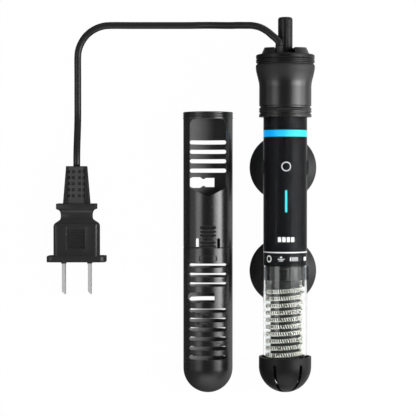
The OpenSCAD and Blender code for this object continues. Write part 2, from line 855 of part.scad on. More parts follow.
module element_leads()
    color([0.8, 0.8, 0.78])
        lay_heater()
            for (side = [-1, 1])
                rod(side * lead_x, -wire_d / 2 - seat, wire_d / 2, collar_z - 2.4,
                    board_z + lead_up - collar_z + 2.4);

// ---------------------------------------------------------------- bumper

// Round-ended cap with meridian slots and inner ribs that grip the glass
module end_bumper() {
    slot_turn = 4;                         // the slots are turned this far from the middle
    slot_top_z = round_z + 0.8;
    slot_in = 1.9;                         // radius left solid at the pole
    rib_w = 1.2;
    rib_low_z = round_z + 0.4;
    color([0.1, 0.1, 0.11])
        lay_heater() {
            difference() {
                rotate_extrude()
                    difference() {
                        capsule_half(bumper_r, bumper_top_z);
                        capsule_half(bumper_in_r, bumper_top_z + over);
                    }
                for (i = [0 : bumper_slots - 1])
                    rotate([0, 0, slot_turn + (i + 0.5) * 360 / bumper_slots]) {
                        block([-bumper_slot_w / 2, -bumper_r - over, -over],
                            [bumper_slot_w / 2, -slot_in, slot_top_z]);
                        translate([0, -bumper_r / 2, slot_top_z])
                            rotate([90, 0, 0])
                                cylinder(d = bumper_slot_w, h = bumper_r / 2 + over);
                    }
            }
            for (i = [0 : bumper_slots - 1])
                intersection() {
                    rotate([0, 0, slot_turn + i * 360 / bumper_slots])
                        block([-rib_w / 2, -bumper_in_r - bumper_wall / 2, rib_low_z],
                            [rib_w / 2, 0, bumper_top_z - 0.6]);
                    ring(bumper_in_r + bumper_wall / 2, glass_r + seat, rib_low_z, glass_len);
                }
        }
}

// Shallow rubber dish between the bumper and the round end of the glass
module bottom_pad() {
    pad_r = 5;
    color([0.2, 0.2, 0.2])
        lay_heater()
            rotate_extrude()
                intersection() {
                    difference() {
                        translate([0, round_z])
                            circle(bumper_in_r - seat);
                        translate([0, round_z])
                            circle(glass_r + seat);
                    }
                    square([pad_r, round_z / 2]);
                }
}

// ---------------------------------------------------------------- clips and suction cups

// C-clip round the glass with a boxed socket behind it for a suction cup's button
module clip(z) {
    open = 360 - clip_wrap;
    reach = 2 * clip_out_r;
    tip_r = clip_wall / 2;
    tip_a = 90 - open / 2;
    room = button_d / 2 + 0.4;
    side_t = 1.2;
    plate_y = axis_z - cup_h - hair;
    color([0.1, 0.1, 0.1])
        lay_heater()
            translate([0, 0, z - clip_len / 2]) {
                difference() {
                    union() {
                        difference() {
                            cylinder(r = clip_out_r, h = clip_len);
                            translate([0, 0, -over])
                                linear_extrude(clip_len + 2 * over)
                                    polygon([[0, 0], reach * [-cos(tip_a), -sin(tip_a)],
                                        [0, -2 * reach], reach * [cos(tip_a), -sin(tip_a)]]);
                        }
                        block([-room - side_t, clip_r, 0], [room + side_t, plate_y, clip_len]);
                    }
                    translate([0, 0, -over])
                        cylinder(r = clip_r, h = clip_len + 2 * over);
                    block([-room, clip_out_r, -over],
                        [room, plate_y - clip_plate, clip_len + over]);
                    translate([0, plate_y + over, clip_len / 2])
                        rotate([90, 0, 0])
                            cylinder(d = button_neck_d + 2 * seat, h = clip_plate + 2 * over);
                }
                for (side = [-1, 1])
                    rod(side * (clip_r + tip_r) * cos(tip_a), -(clip_r + tip_r) * sin(tip_a),
                        tip_r, 0, clip_len);
            }
}

module upper_clip()
    clip(upper_clip_z);

module lower_clip()
    clip(lower_clip_z);

// Round suction cup on the table at height y of the heater: a domed disc with a flat lip, a
// hollow under it, and a boss with a button that the clip's plate holds
module suction_cup(z) {
    cup_r = cup_d / 2;
    boss_r = 4.2;
    dome_h = cup_h - 1.4;
    hollow_r = cup_r - 1.5;
    dome_c = ((dome_h * dome_h - cup_lip_t * cup_lip_t) - (cup_r * cup_r - boss_r * boss_r))
        / (2 * (dome_h - cup_lip_t));
    dome_r = sqrt(cup_r * cup_r + (cup_lip_t - dome_c) * (cup_lip_t - dome_c));
    hollow_c = (cup_hollow * cup_hollow - hollow_r * hollow_r) / (2 * cup_hollow);
    neck_top = cup_h + clip_plate + 2 * hair;
    button_edge = 0.9;
    button_top = neck_top + 1.8;
    color([0.14, 0.14, 0.14])
        translate([heater_x, heater_y + z, 0])
            rotate_extrude() {
                difference() {
                    intersection() {
                        translate([0, dome_c])
                            circle(dome_r, $fn = 256);
                        square([cup_r, dome_h + over]);
                    }
                    translate([0, hollow_c])
                        circle(cup_hollow - hollow_c, $fn = 256);
                }
                translate([0, cup_hollow])
                    square([boss_r, cup_h - cup_hollow]);
                translate([0, cup_h - over])
                    square([button_neck_d / 2, button_top - cup_h]);
                translate([0, neck_top])
                    square([button_d / 2, button_edge]);
                translate([0, neck_top])
                    square([button_d / 2 - button_edge, button_top - neck_top]);
                intersection() {
                    translate([button_d / 2 - button_edge, neck_top + button_edge])
                        circle(button_edge);
                    translate([0, neck_top])
                        square([button_d, button_top - neck_top]);
                }
            }
}

module upper_cup()
    suction_cup(upper_clip_z);

module lower_cup()
    suction_cup(lower_clip_z);

// ---------------------------------------------------------------- guard

// Cooling slot with pointed ends
module slot_outline() {
    tip = slot_h / 2;
    polygon([
        [-slot_w / 2, 0], [tip - slot_w / 2, tip], [slot_w / 2 - tip, tip],
        [slot_w / 2, 0], [slot_w / 2 - tip, -tip], [tip - slot_w / 2, -tip]]);
}

// Keyhole for a suction cup's button: round end, neck and seat, left to right
module key_outline() {
    round_x = -7;
    neck_x = -2.2;
    seat_x = 3.15;
    seat_half = 2.25;
    big = key_h / 2;
    small = key_neck_h / 2;
    slope = 0.8;
    translate([round_x, 0])
        circle(big);
    polygon([
        [round_x, big], [neck_x - slope - 0.9, big], [neck_x - 0.4, small],
        [neck_x + 0.4, small], [neck_x + slope + 0.3, seat_half], [seat_x, seat_half],
        [seat_x, -seat_half], [neck_x + slope + 0.3, -seat_half], [neck_x + 0.4, -small],
        [neck_x - 0.4, -small], [neck_x - slope - 0.9, -big], [round_x, -big]]);
}

// Front window: round upper corners, straight sides and a pointed lower edge
module window_outline() {
    corner = 2.9;
    half = window_w / 2;
    for (x = [-1, 1])
        translate([x * (half - corner), window_h - corner])
            circle(corner);
    translate([corner - half, 0])
        square([window_w - 2 * corner, window_h]);
    polygon([
        [-half, window_h - corner], [-half, 0], [0, -window_point], [half, 0],
        [half, window_h - corner]]);
}

// Turned wall of the upper half: spigot, split edge, sleeve and ringed rim
module upper_wall() {
    rim_z = guard_len - guard_rim_h;
    ease = 0.35;
    rotate([0, 0, upper_seam])
        rotate_extrude()
            polygon([
                [guard_in_r, split_z - guard_lap], [lap_r, split_z - guard_lap],
                [lap_r, split_z + split_gap], [guard_r - edge_cut, split_z + split_gap],
                [guard_r, split_z + split_gap + edge_cut], [guard_r, rim_z],
                [guard_rim_r, rim_z + guard_rim_out], [guard_rim_r, guard_len - ease],
                [guard_rim_r - ease, guard_len], [guard_in_r, guard_len]]);
}

// Flat ribbed grip on the front wall between two heights
module ribbed(z0, z1) {
    rib_r = 0.45;
    difference() {
        children();
        block([-grip_half, -guard_r - over, max(z0 - over, split_z + 0.7)],
            [grip_half, -grip_y, min(z1, rib_first_z + rib_count * rib_pitch)]);
    }
    intersection() {
        for (i = [0 : rib_count - 1])
            if (rib_first_z + i * rib_pitch > z0 && rib_first_z + i * rib_pitch < z1)
                translate([-grip_half, -grip_y, rib_first_z + i * rib_pitch])
                    rotate([0, 90, 0])
                        cylinder(r = rib_r, h = 2 * grip_half);
        ring(guard_r, guard_in_r + 0.2, split_z, guard_len - split_z);
    }
}

module guard_upper() {
    rim_groove = 0.34;
    color([0.12, 0.12, 0.13])
        lay_guard()
            ribbed(latch_root_z, guard_len)
                difference() {
                    upper_wall();
                    for (k = [1, 2])
                        o_ring(guard_rim_r + rim_groove / 3, rim_groove * 2,
                            guard_len - k * guard_rim_h / 3);
                    cut_front(window_low_z, guard_r + over)
                        window_outline();
                    for (i = [0 : back_window_slots - 1])
                        cut_back(back_window_slot_z - i * window_slot_pitch, guard_r + over)
                            slot_outline();
                    cut_back(back_key_z, guard_r + over)
                        key_outline();
                    cut_back(joint_key_z, guard_r + over)
                        key_outline();
                    latch_room();
                }
}

// Space that the latch and its two slits take out of the upper half
module latch_room() {
    slit_low_z = split_z - guard_lap - over;
    block([-slit_x, -guard_r - over, slit_low_z], [slit_x, 0, latch_root_z]);
    for (side = [-1, 1])
        translate([side * slit_x, 0, 0]) {
            block([-slit_w / 2, -guard_r - over, slit_low_z],
                [slit_w / 2, 0, slit_top_z - slit_w / 2]);
            translate([0, 0, slit_top_z - slit_w / 2])
                rotate([90, 0, 0])
                    cylinder(d = slit_w, h = guard_r + over);
        }
}

// Tongue between the slits: ribbed outside, thinned behind the lower half
module guard_latch()
    color([0.16, 0.16, 0.17])
        lay_guard()
            ribbed(split_z, latch_root_z - hair)
                intersection() {
                    upper_wall();
                    block([-latch_half, -guard_r - over, split_z - guard_lap],
                        [latch_half, -guard_in_r / 2, latch_root_z - hair]);
                }

// Slots of the lower half, as heights from top to bottom
function low_slots() = concat(
    [for (i = [0 : slots_above_key - 1]) first_slot_z - i * slot_pitch],
    [for (i = [0 : slots_below_key - 1]) first_low_slot_z - i * slot_pitch]);

// Round-ended cage with a thin socket for the spigot and a window for the latch's catch
module guard_lower() {
    shift = guard_r - round_z;             // its round end has its own centre height
    back_extra_z = first_low_slot_z + slot_pitch;
    color([0.11, 0.11, 0.12])
        lay_guard()
            difference() {
                translate([0, 0, shift])
                    rotate([0, 0, lower_seam])
                        rotate_extrude()
                            difference() {
                                capsule_half(guard_r, split_z - shift);
                                capsule_half(guard_in_r, split_z - shift + over);
                            }
                rod(0, 0, socket_r, split_z - guard_lap - hair, guard_lap + over);
                for (z = low_slots()) {
                    cut_front(z, guard_r + over)
                        slot_outline();
                    cut_back(z - slot_stagger, guard_r + over)
                        slot_outline();
                }
                cut_back(back_extra_z - slot_stagger, guard_r + over)
                    slot_outline();
                cut_front(front_key_z, guard_r + over)
                    key_outline();
                cut_back(joint_key_z, guard_r + over)
                    key_outline();
                cut_front(catch_z, guard_r + over)
                    round_rect(catch_w, catch_h, 0.9);
            }
}

// ---------------------------------------------------------------- cord and plug

function cord_length() =
    let (n = len(cord_route) - 1)
        [for (i = [0 : n - 1]) norm(cord_route[i + 1] - cord_route[i])] * [for (i = [0 : n - 1]) 1];

module cord() {
    n = len(cord_route) - 1;
    echo(str("cord length ", cord_length(), " mm"));
    rings = [for (i = [0 : n])
        let (t = unit(i == 0 ? [0, 1, 0] : i == n ? [0, -1, 0]
                : cord_route[i + 1] - cord_route[i - 1]),
            u = unit(cross(t, [0, 0, 1])), v = cross(t, u))
            tube_ring(cord_route[i], u, v, cord_r, cord_sides)];
    color([0.11, 0.11, 0.12])
        swept_tube(rings);
}

// Tapered strain relief with rows of blind windows beside its spines
module plug_boot() {
    row_pitch = 2.95;
    first_row = boot_len - 2.6;
    row_h = 1.5;
    side_w = 3.2;
    window_x = [-3.7, -1.5, 1.5, 3.7];
    window_w = 1.4;
    depth = 1.2;
    color([0.12, 0.12, 0.13])
        lay_plug()
            difference() {
                intersection() {
                    cut_front_and_back(boot_z + seat)
                        taper(boot_low_w, boot_top_w);
                    rotate([0, 0, 90])
                        cut_front_and_back(boot_z + seat)
                            taper(boot_low_t, boot_top_t);
                }
                for (i = [0 : boot_rows - 1]) {
                    z = first_row - i * row_pitch;
                    share = z / boot_len;
                    half_t = boot_low_t / 2 + share * (boot_top_t - boot_low_t) / 2 - depth;
                    half_w = boot_low_w / 2 + share * (boot_top_w - boot_low_w) / 2 - depth;
                    low = boot_z + z - row_h / 2;
                    for (side = [0, 1])
                        rotate([0, 0, side * 180]) {
                            for (x = window_x)
                                block([x - window_w / 2, half_t, low],
                                    [x + window_w / 2, half_t + 2 * depth, low + row_h]);
                            block([half_w, -side_w / 2, low],
                                [half_w + 2 * depth, side_w / 2, low + row_h]);
                        }
                }
            }
}

// Trapezium from the strain relief's foot to its top
module taper(low_w, top_w) {
    h = boot_len - seat;
    polygon([[-low_w / 2, 0], [low_w / 2, 0], [top_w / 2, h], [-top_w / 2, h]]);
}

// Extrudes a flat outline, drawn in x and z, both ways from the axis
module cut_front_and_back(z)
    translate([0, plug_w, z])
        rotate([90, 0, 0])
            linear_extrude(2 * plug_w)
                children();

// Right half of the plug's outline from the front or the side: straight sides, a round
// shoulder, a waist and a flare up to the upper flange
function plug_half(half_w, half_neck, half_flange) =
    let (shoulder = 2.6, body_top = plug_side_h + plug_flange_h, waist_low = body_top + shoulder + 1,
        waist_top = plug_neck_h - 2.4)
    concat(
        [[half_w, 0], [half_w, body_top]],
        [for (a = [15 : 15 : 60])
            [half_w - shoulder * (1 - cos(a)), body_top + shoulder * sin(a)]],
        [[half_neck + 0.3, waist_low], [half_neck, waist_low + 1], [half_neck, waist_top]],
        [for (a = [30 : 30 : 90])
            [half_neck + (half_flange - half_neck) * 0.8 * (1 - cos(a)),
                waist_top + (plug_neck_h - waist_top) * sin(a)]],
        [[half_flange, plug_neck_h + 0.3], [half_flange, boot_z]]);

module plug_outline(half_w, half_neck, half_flange) {
    half = plug_half(half_w, half_neck, half_flange);
    polygon(concat(half, [for (i = [len(half) - 1 : -1 : 0]) [-half[i][0], half[i][1]]]));
}

// Moulded plug: waisted body, two flanges, a boss round each blade and a ribbed finger grip on
// the front and the back
module plug_body() {
    grip_w = 9;
    grip_low = 6.1;
    grip_slope_z = 16;
    grip_top = 18.4;
    grip_depth = 0.7;
    grip_ribs = 9;
    grip_rib_pitch = 1.03;
    rib_r = 0.35;
    neck_t = 10;
    upper_flange_t = 13;
    edge_r = 2.2;
    boss = [2.3, 7.6, 0.8];
    floor_y = plug_t / 2 - grip_depth;
    color([0.12, 0.12, 0.13])
        lay_plug() {
            difference() {
                intersection() {
                    cut_front_and_back(0)
                        plug_outline(plug_w / 2, plug_neck_w / 2, plug_top_flange_w / 2);
                    rotate([0, 0, 90])
                        cut_front_and_back(0)
                            plug_outline(plug_t / 2, neck_t / 2, upper_flange_t / 2);
                    linear_extrude(boot_z)
                        round_rect(plug_w, plug_t, edge_r);
                }
                for (side = [0, 1])
                    rotate([0, 0, side * 180])
                        translate([-grip_w / 2, 0, 0])
                            rotate([90, 0, 90])
                                linear_extrude(grip_w)
                                    polygon([
                                        [floor_y, grip_low], [floor_y, grip_slope_z],
                                        [plug_t / 2, grip_top], [plug_t / 2 + over, grip_top],
                                        [plug_t / 2 + over, grip_low]]);
            }
            for (side = [-1, 1], i = [0 : grip_ribs - 1])
                translate([-grip_w / 2 - seat, side * floor_y, grip_low + 0.7 + i * grip_rib_pitch])
                    rotate([0, 90, 0])
                        cylinder(r = rib_r, h = grip_w + 2 * seat);
            difference() {
                union() {
                    linear_extrude(plug_flange_h)
                        round_rect(plug_flange_w, plug_flange_t, 3);
                    for (side = [-1, 1])
                        translate([side * blade_pitch / 2, 0, -boss[2]])
                            linear_extrude(boss[2] + over)
                                round_rect(boss[0], boss[1], 0.9);
                }
                for (side = [-1, 1])
                    translate([side * blade_pitch / 2, 0, -over / 2 - boss[2] / 2])
                        cube([blade_t + 2 * seat, blade_w + 2 * seat, boss[2] + over], center = true);
            }
        }
}

// Two flat blades with slanted tips
module plug_blades() {
    tip = 1.6;
    corner = 1.2;
    low = -blade_len;
    color([0.75, 0.75, 0.77])
        lay_plug()
            for (side = [-1, 1])
                translate([side * blade_pitch / 2, 0, 0])
                    intersection() {
                        cut_front_and_back(0)
                            polygon([
                                [-blade_t / 2, -seat], [-blade_t / 2, low + tip],
                                [blade_t / 2, low], [blade_t / 2, -seat]]);
                        rotate([0, 0, 90])
                            cut_front_and_back(0)
                                polygon([
                                    [-blade_w / 2, 0], [-blade_w / 2, low + corner],
                                    [corner - blade_w / 2, low - over],
                                    [blade_w / 2 - corner, low - over],
                                    [blade_w / 2, low + corner], [blade_w / 2, 0]]);
                    }
}

// ---------------------------------------------------------------- nodes

glass_tube();
label_sleeve();
accent_band();
light_bar();
light_module();
control_board();
board_parts();
thermal_fuse();
temperature_probe();
supply_wires();
potentiometer();
knob_spindle();
temperature_knob();
knob_seal();
tube_stopper();
tube_seals();
head_shell();
cap_gasket();
cap_ring();
cap_plate();
cord_gland();
element_collar();
element_leads();
ceramic_core();
heating_coil();
bottom_pad();
end_bumper();
upper_clip();
lower_clip();
upper_cup();
lower_cup();
guard_upper();
guard_latch();
guard_lower();
cord();
plug_boot();
plug_body();
plug_blades();
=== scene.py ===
"""Submersible aquarium heater with its slotted guard and mains lead.

Stage, finishes and fine pieces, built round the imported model. Lengths are in metres, except where
a comment or the end of a name says mm. The heater lies along Y with its knob towards +Y.
"""

import math

import bmesh
import bpy
from bpy.props import FloatProperty, FloatVectorProperty, IntProperty, PointerProperty
from mathutils import Matrix, Vector


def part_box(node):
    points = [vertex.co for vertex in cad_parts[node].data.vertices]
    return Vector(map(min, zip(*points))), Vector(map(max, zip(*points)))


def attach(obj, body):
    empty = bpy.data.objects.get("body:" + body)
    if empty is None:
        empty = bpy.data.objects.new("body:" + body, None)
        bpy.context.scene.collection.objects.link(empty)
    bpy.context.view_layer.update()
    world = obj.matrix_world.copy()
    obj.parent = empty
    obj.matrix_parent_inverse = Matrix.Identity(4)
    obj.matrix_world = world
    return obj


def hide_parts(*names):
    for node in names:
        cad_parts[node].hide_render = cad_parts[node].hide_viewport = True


bl_info = {
    "name": "Aquarium Heater",
    "version": (1, 0, 0),
    "blender": (4, 5, 0),
    "location": "3D View > Sidebar > Heater",
    "description": "Dresses a packed aquarium heater with its finishes and fine pieces",
    "category": "Object",
}

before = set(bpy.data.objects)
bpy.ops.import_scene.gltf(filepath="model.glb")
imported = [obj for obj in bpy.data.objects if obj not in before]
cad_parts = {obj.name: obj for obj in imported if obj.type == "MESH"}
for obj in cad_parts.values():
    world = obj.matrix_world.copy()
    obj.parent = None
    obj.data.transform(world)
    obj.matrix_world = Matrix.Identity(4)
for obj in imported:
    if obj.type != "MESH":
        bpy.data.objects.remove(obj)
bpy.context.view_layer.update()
MM = 0.001
GLASS_IOR = 1.12  # thin walls seen nearly straight through

# x and z of each axis and y of its foot, mm.
HEATER_AXIS = (16.35, -89.325, 23.0)
GUARD_AXIS = (-20.7, -90.825, 12.15)
PLUG_X = -84.9

# Heights over the guard's foot, mm: the middle of its round end, the top of the bore's lower part,
# whose left is painted paler as light, the seam between its halves, and the rim's foot. Then the
# radii of its bore and its outside.
GUARD_END, GUARD_PAINTED_LIGHT_TOP, GUARD_SEAM, GUARD_RIM = 12.0, 66.0, 70.5, 133.5
GUARD_BORE, GUARD_RADIUS = 11.05, 11.9

# The web that carries the latch, mm: its lower and upper end, inside and outside, and half width.
HINGE_HEIGHTS, HINGE_RADII, HINGE_HALF = (74.5, 75.5), (11.2, 11.92), 4.4

# Heights over the heater's foot, mm: the ring, the blocks, the line and the marks of the label,
# the label's lower end, and the foot of the head's shoulder.
RING_Y, BLOCKS_Y, LINE_Y, MARKS_Y = 108.4, 73.7, 67.5, 64.4
LABEL_END, SHOULDER_Y = 60.8, 148.5
FILM_RADIUS, SLEEVE_RADIUS = 9.76, 9.65  # the films and the sleeve that they stand for, mm

CAMERA_FOOT = (-0.0207, 0.0136)  # x and y of the point of the floor under the camera
CAMERA_AIM = Vector((-0.0207, -0.0008, 0.023))
STRIP_DISTANCE, STRIP_LENGTH, STRIP_Y = 0.55, 0.22, -0.005


def linear(value):
    """The light that a display value from 0 to 255 stands for."""
    share = value / 255
    return share / 12.92 if share <= 0.04045 else ((share + 0.055) / 1.055) ** 2.4


def colour(red, green, blue):
    return (linear(red), linear(green), linear(blue), 1)


def grey(value):
    return colour(value, value, value)


# ---------------------------------------------------------------- nodes


class Value:
    """A node's output. Sums, products and comparisons of values add their Math nodes."""

    def __init__(self, tree, socket):
        self.tree, self.socket = tree, socket

    def out(self, name):
        """Another output of the same node."""
        return Value(self.tree, self.socket.node.outputs[name])

    def maths(self, operation, *others):
        return self.tree.maths(operation, self, *others)

    def __add__(self, other):
        return self.maths("ADD", other)

    def __sub__(self, other):
        return self.maths("SUBTRACT", other)

    def __rsub__(self, other):
        return self.tree.maths("SUBTRACT", other, self)

    def __mul__(self, other):
        return self.maths("MULTIPLY", other)

    def __truediv__(self, other):
        return self.maths("DIVIDE", other)

    def __lt__(self, other):
        return self.maths("LESS_THAN", other)

    def __gt__(self, other):
        return self.maths("GREATER_THAN", other)

    def __abs__(self):
        return self.maths("ABSOLUTE")

    def clamped(self):
        return self.maths("MINIMUM", 1.0).maths("MAXIMUM", 0.0)

    def ramp(self, low, high):
        """0 up to low, 1 from high on, and even in between."""
        return ((self - low) / (high - low)).clamped()

    __radd__, __rmul__ = __add__, __mul__


class Tree:
    """A node tree that is written as expressions."""

    def __init__(self, tree):
        self.tree = tree

    def add(self, kind, settings=None, inputs=None, output=0):
        """Adds a node: its settings come first, then the values or links of its sockets."""
        node = self.tree.nodes.new(kind)
        for key, setting in (settings or {}).items():
            setattr(node, key, setting)
        for key, value in (inputs or {}).items():
            if isinstance(value, Value):
                self.tree.links.new(value.socket, node.inputs[key])
            else:
                node.inputs[key].default_value = value
        return Value(self, node.outputs[output]) if node.outputs else node

    def maths(self, operation, *terms):
        return self.add("ShaderNodeMath", {"operation": operation}, dict(enumerate(terms)))

    def vector(self, operation, *terms):
        return self.add("ShaderNodeVectorMath", {"operation": operation}, dict(enumerate(terms)))

    def scaled(self, vector, amount):
        sockets = {0: vector, "Scale": amount}
        return self.add("ShaderNodeVectorMath", {"operation": "SCALE"}, sockets)

    def blend(self, share, first, second):
        return self.add("ShaderNodeMixShader", None, {0: share, 1: first, 2: second})


class Finish(Tree):
    """A material under construction."""

    def __init__(self, name):
        self.material = bpy.data.materials.new(name)
        self.material.use_nodes = True
        super().__init__(self.material.node_tree)
        self.tree.nodes.clear()

    def where(self):
        return self.add("ShaderNodeTexCoord").out("Object")

    def place(self, centre):
        """x, y and z from a centre, in millimetres."""
        moved = self.vector("SUBTRACT", self.scaled(self.where(), 1 / MM), centre)
        split = self.add("ShaderNodeSeparateXYZ", None, {0: moved})
        return split, split.out("Y"), split.out("Z")

    def noise(self, scale, detail=2.0, where=None):
        sockets = {"Vector": where or self.where(), "Scale": scale, "Detail": detail}
        return self.add("ShaderNodeTexNoise", None, sockets)

    def mix(self, share, low, high):
        return self.add("ShaderNodeMix", {"data_type": "RGBA"}, {0: share, 6: low, 7: high}, 2)

    def clear(self, *light):
        return self.add("ShaderNodeBsdfTransparent", None, {"Color": (*light, 1)})

    def between(self, share, low, high):
        """A number that goes from low to high as share goes from 0 to 1."""
        return share * (high - low) + low

    def rounded(self, radius_mm):
        """The normal, with the edges rounded off."""
        return self.add("ShaderNodeBevel", {"samples": 4}, {"Radius": radius_mm * MM})

    def plain(self):
        """The normal as the mesh has it."""
        return self.add("ShaderNodeNewGeometry").out("Normal")

    def dot(self, one, other):
        return self.vector("DOT_PRODUCT", one, other).out("Value")

    def trued(self, normal, x, y, z, share):
        """normal, less the mesh's error against (x, y, z), on the walls that face that way."""
        arrow = self.add("ShaderNodeCombineXYZ", None, {0: x, 1: y, 2: z})
        turned = {"vector_type": "NORMAL", "convert_from": "OBJECT", "convert_to": "WORLD"}
        true = self.vector("NORMALIZE", self.add("ShaderNodeVectorTransform", turned, {0: arrow}))
        facing = self.dot(true, self.plain().out("True Normal")) > 0.9
        change = self.vector("SUBTRACT", true, self.plain())
        share = self.add("ShaderNodeCombineXYZ", None, dict.fromkeys(range(3), facing * share))
        return self.vector("NORMALIZE", self.vector("MULTIPLY_ADD", change, share, normal))

    def wear_and_highlight(self, rounded, plain):
        """1 along the edges that rounded turns over, and 0 on flat faces."""
        return ((1 - self.dot(rounded, plain)) * 4).maths("MINIMUM", 1.0)

    def bump(self, height, depth_mm, normal=None):
        sockets = {"Height": height, "Distance": depth_mm * MM}
        if normal is not None:
            sockets["Normal"] = normal
        return self.add("ShaderNodeBump", None, sockets)

    def shader(self, **sockets):
        """Principled shader. base_color stands for Base Color, and so on."""
        named = {key.replace("_", " ").title(): value for key, value in sockets.items()}
        named = {SOCKETS.get(key, key): value for key, value in named.items()}
        return self.add("ShaderNodeBsdfPrincipled", None, named)

    def done(self, surface):
        self.add("ShaderNodeOutputMaterial", None, {"Surface": surface})
        return self.material

    def painted(self, **sockets):
        """The material, with a Principled shader alone."""
        return self.done(self.shader(**sockets))


# Sockets whose names don't follow from their keywords.
SOCKETS = {"Ior": "IOR", "Specular": "Specular IOR Level"}


# ---------------------------------------------------------------- finishes


def moulded(
    name, tone, roughness=0.4, grain=0.006, edge=0.25, lift=3.0, gloss=0.9,
    bore=None, grip_and_highlight=None, matt_from=None,
):
    """Moulded plastic: fine spark texture, clouding, and paler edges that are partly wear and
    partly a painted highlight.

    bore is the tones of the guard's inside, at its left and at its right: the left tone is painted
    light and the right one painted shade, and low in the guard the left is paler still, as painted
    light. grip is the middle, half width, half height and tone of a duller patch, in mm: darker
    over the plug's ribs, and lighter down the middle of the strain relief, as a painted highlight.
    Above matt_from, a height over the heater's foot in mm, the texture is rougher.
    """
    f = Finish(name)
    spark = f.noise(4200.0, 3.0)
    cloud = f.noise(90.0, 3.0)
    rounded, plain = f.rounded(edge), f.plain()
    if bore:
        x, y, z = f.place(GUARD_AXIS)
        below = (y - GUARD_END).maths("MINIMUM", 0.0)
        rounded, plain = (f.trued(n, x, below, z, y < GUARD_SEAM) for n in (rounded, plain))
    # Edges are made paler by lift: partly wear, partly a painted highlight.
    wear_and_highlight = f.wear_and_highlight(rounded, plain) * 0.8
    if bore:
        wear_and_highlight = wear_and_highlight * (y < GUARD_RIM)
    body = f.mix(cloud, grey(tone * 0.9), grey(tone))
    base = f.mix(wear_and_highlight, body, (min(1, linear(tone) * lift + 0.006),) * 3 + (1,))
    sheen = f.between(cloud * 0.5 + spark * 0.5, roughness - 0.06, roughness + 0.06)
    if bore:
        # Inside the bore: pale at the left as painted light, dark at the right as painted shade,
        # paler still low down as painted light.
        inside = (x * x + z * z + below * below).maths("SQRT") < GUARD_BORE
        left, right = bore
        bore_painted_light = f.mix(y < GUARD_PAINTED_LIGHT_TOP, grey(left), grey(left * 1.35))
        base = f.mix(inside, base, f.mix(x.ramp(-7.0, 4.0), bore_painted_light, grey(right)))
        sheen = sheen + inside * 0.25 + (below * -0.045).clamped()
    # A patch in a tone of its own and duller: darker over the plug's ribs, and a painted highlight
    # down the strain relief's middle.
    if grip_and_highlight:
        middle, half_w, half_h, patch_tone = grip_and_highlight
        x, y, _ = f.place(middle)
        patch = (abs(x) < half_w) * (abs(y) < half_h)
        base = f.mix(patch * 0.75, base, grey(patch_tone))
        sheen = sheen + patch * 0.2
    if matt_from:
        y = f.place(HEATER_AXIS)[1]
        sheen = sheen + y.ramp(matt_from, matt_from + 5.0) * 0.3
    normal = f.bump(spark, grain, rounded)
    return f.painted(base_color=base, roughness=sheen, specular=gloss, normal=normal)


def rubber(name, tone, roughness=0.5, grain=0.01, gloss=0.5):
    """Soft black rubber: matt, with a faint bloom."""
    f = Finish(name)
    bloom = f.noise(700.0, 4.0)
    cloud = f.noise(160.0, 2.0)
    return f.painted(
        base_color=f.mix(cloud * 0.6 + bloom * 0.4, grey(tone * 0.8), grey(tone * 1.25)),
        roughness=f.between(bloom, roughness - 0.1, roughness + 0.1),
        specular=gloss,
        normal=f.bump(f.noise(3000.0, 3.0), grain),
    )


def metal(name, tone, roughness=0.3, brush=(1.0, 1.0, 1.0), metallic=1.0):
    """Bare metal with fine marks, drawn out along the axes where brush is small."""
    f = Finish(name)
    marks = f.noise(3000.0, 3.0, f.vector("MULTIPLY", f.where(), brush))
    return f.painted(
        base_color=f.mix(marks, grey(tone * 0.9), grey(min(255, tone * 1.06))),
        metallic=metallic,
        roughness=f.between(marks, roughness - 0.08, roughness + 0.1),
        normal=f.bump(marks, 0.004, f.rounded(0.15)),
    )


def spotted(name, low, high, scale=400.0, roughness=0.5):
    """Two tones in fine spots, for ceramic, epoxy, case plastic and insulation."""
    f = Finish(name)
    spots = f.noise(scale, 4.0)
    return f.painted(
        base_color=f.mix(spots.ramp(0.38, 0.62), low, high),
        roughness=f.between(spots, roughness - 0.1, roughness + 0.1),
        normal=f.bump(spots, 0.02, f.rounded(0.12)),
    )


def clear_glass():
    """Heat-resisting glass: the lamps pass through it, and below the label it has a coat, stronger
    on its left half as a painted reflection.
    """
    f = Finish("borosilicate_glass")
    x, y, _ = f.place(HEATER_AXIS)
    smear = f.noise(45.0, 3.0)
    solid = f.shader(
        base_color=(0.97, 0.99, 0.985, 1),
        roughness=smear * 0.01 + 0.01,
        ior=GLASS_IOR,
        transmission_weight=1.0,
        # The coat is stronger on the left half: a painted reflection.
        coat_weight=(y < LABEL_END) * ((x < 0) * 0.55 + 0.15),
        coat_roughness=0.03,
        normal=f.bump(smear, 0.004),
    )
    shadow = f.add("ShaderNodeLightPath").out("Is Shadow Ray")
    return f.done(f.blend(shadow, solid, f.clear(0.96, 0.98, 0.975)))


def smoked_plastic():
    """Smoked see-through plastic of the clips."""
    f = Finish("smoked_plastic")
    haze = f.noise(300.0, 3.0)
    solid = f.shader(
        base_color=f.mix(haze, grey(24), grey(34)),
        roughness=f.between(haze, 0.2, 0.3),
        normal=f.rounded(0.2),
    )
    return f.done(f.blend(0.3, f.clear(0.8, 0.82, 0.84), solid))


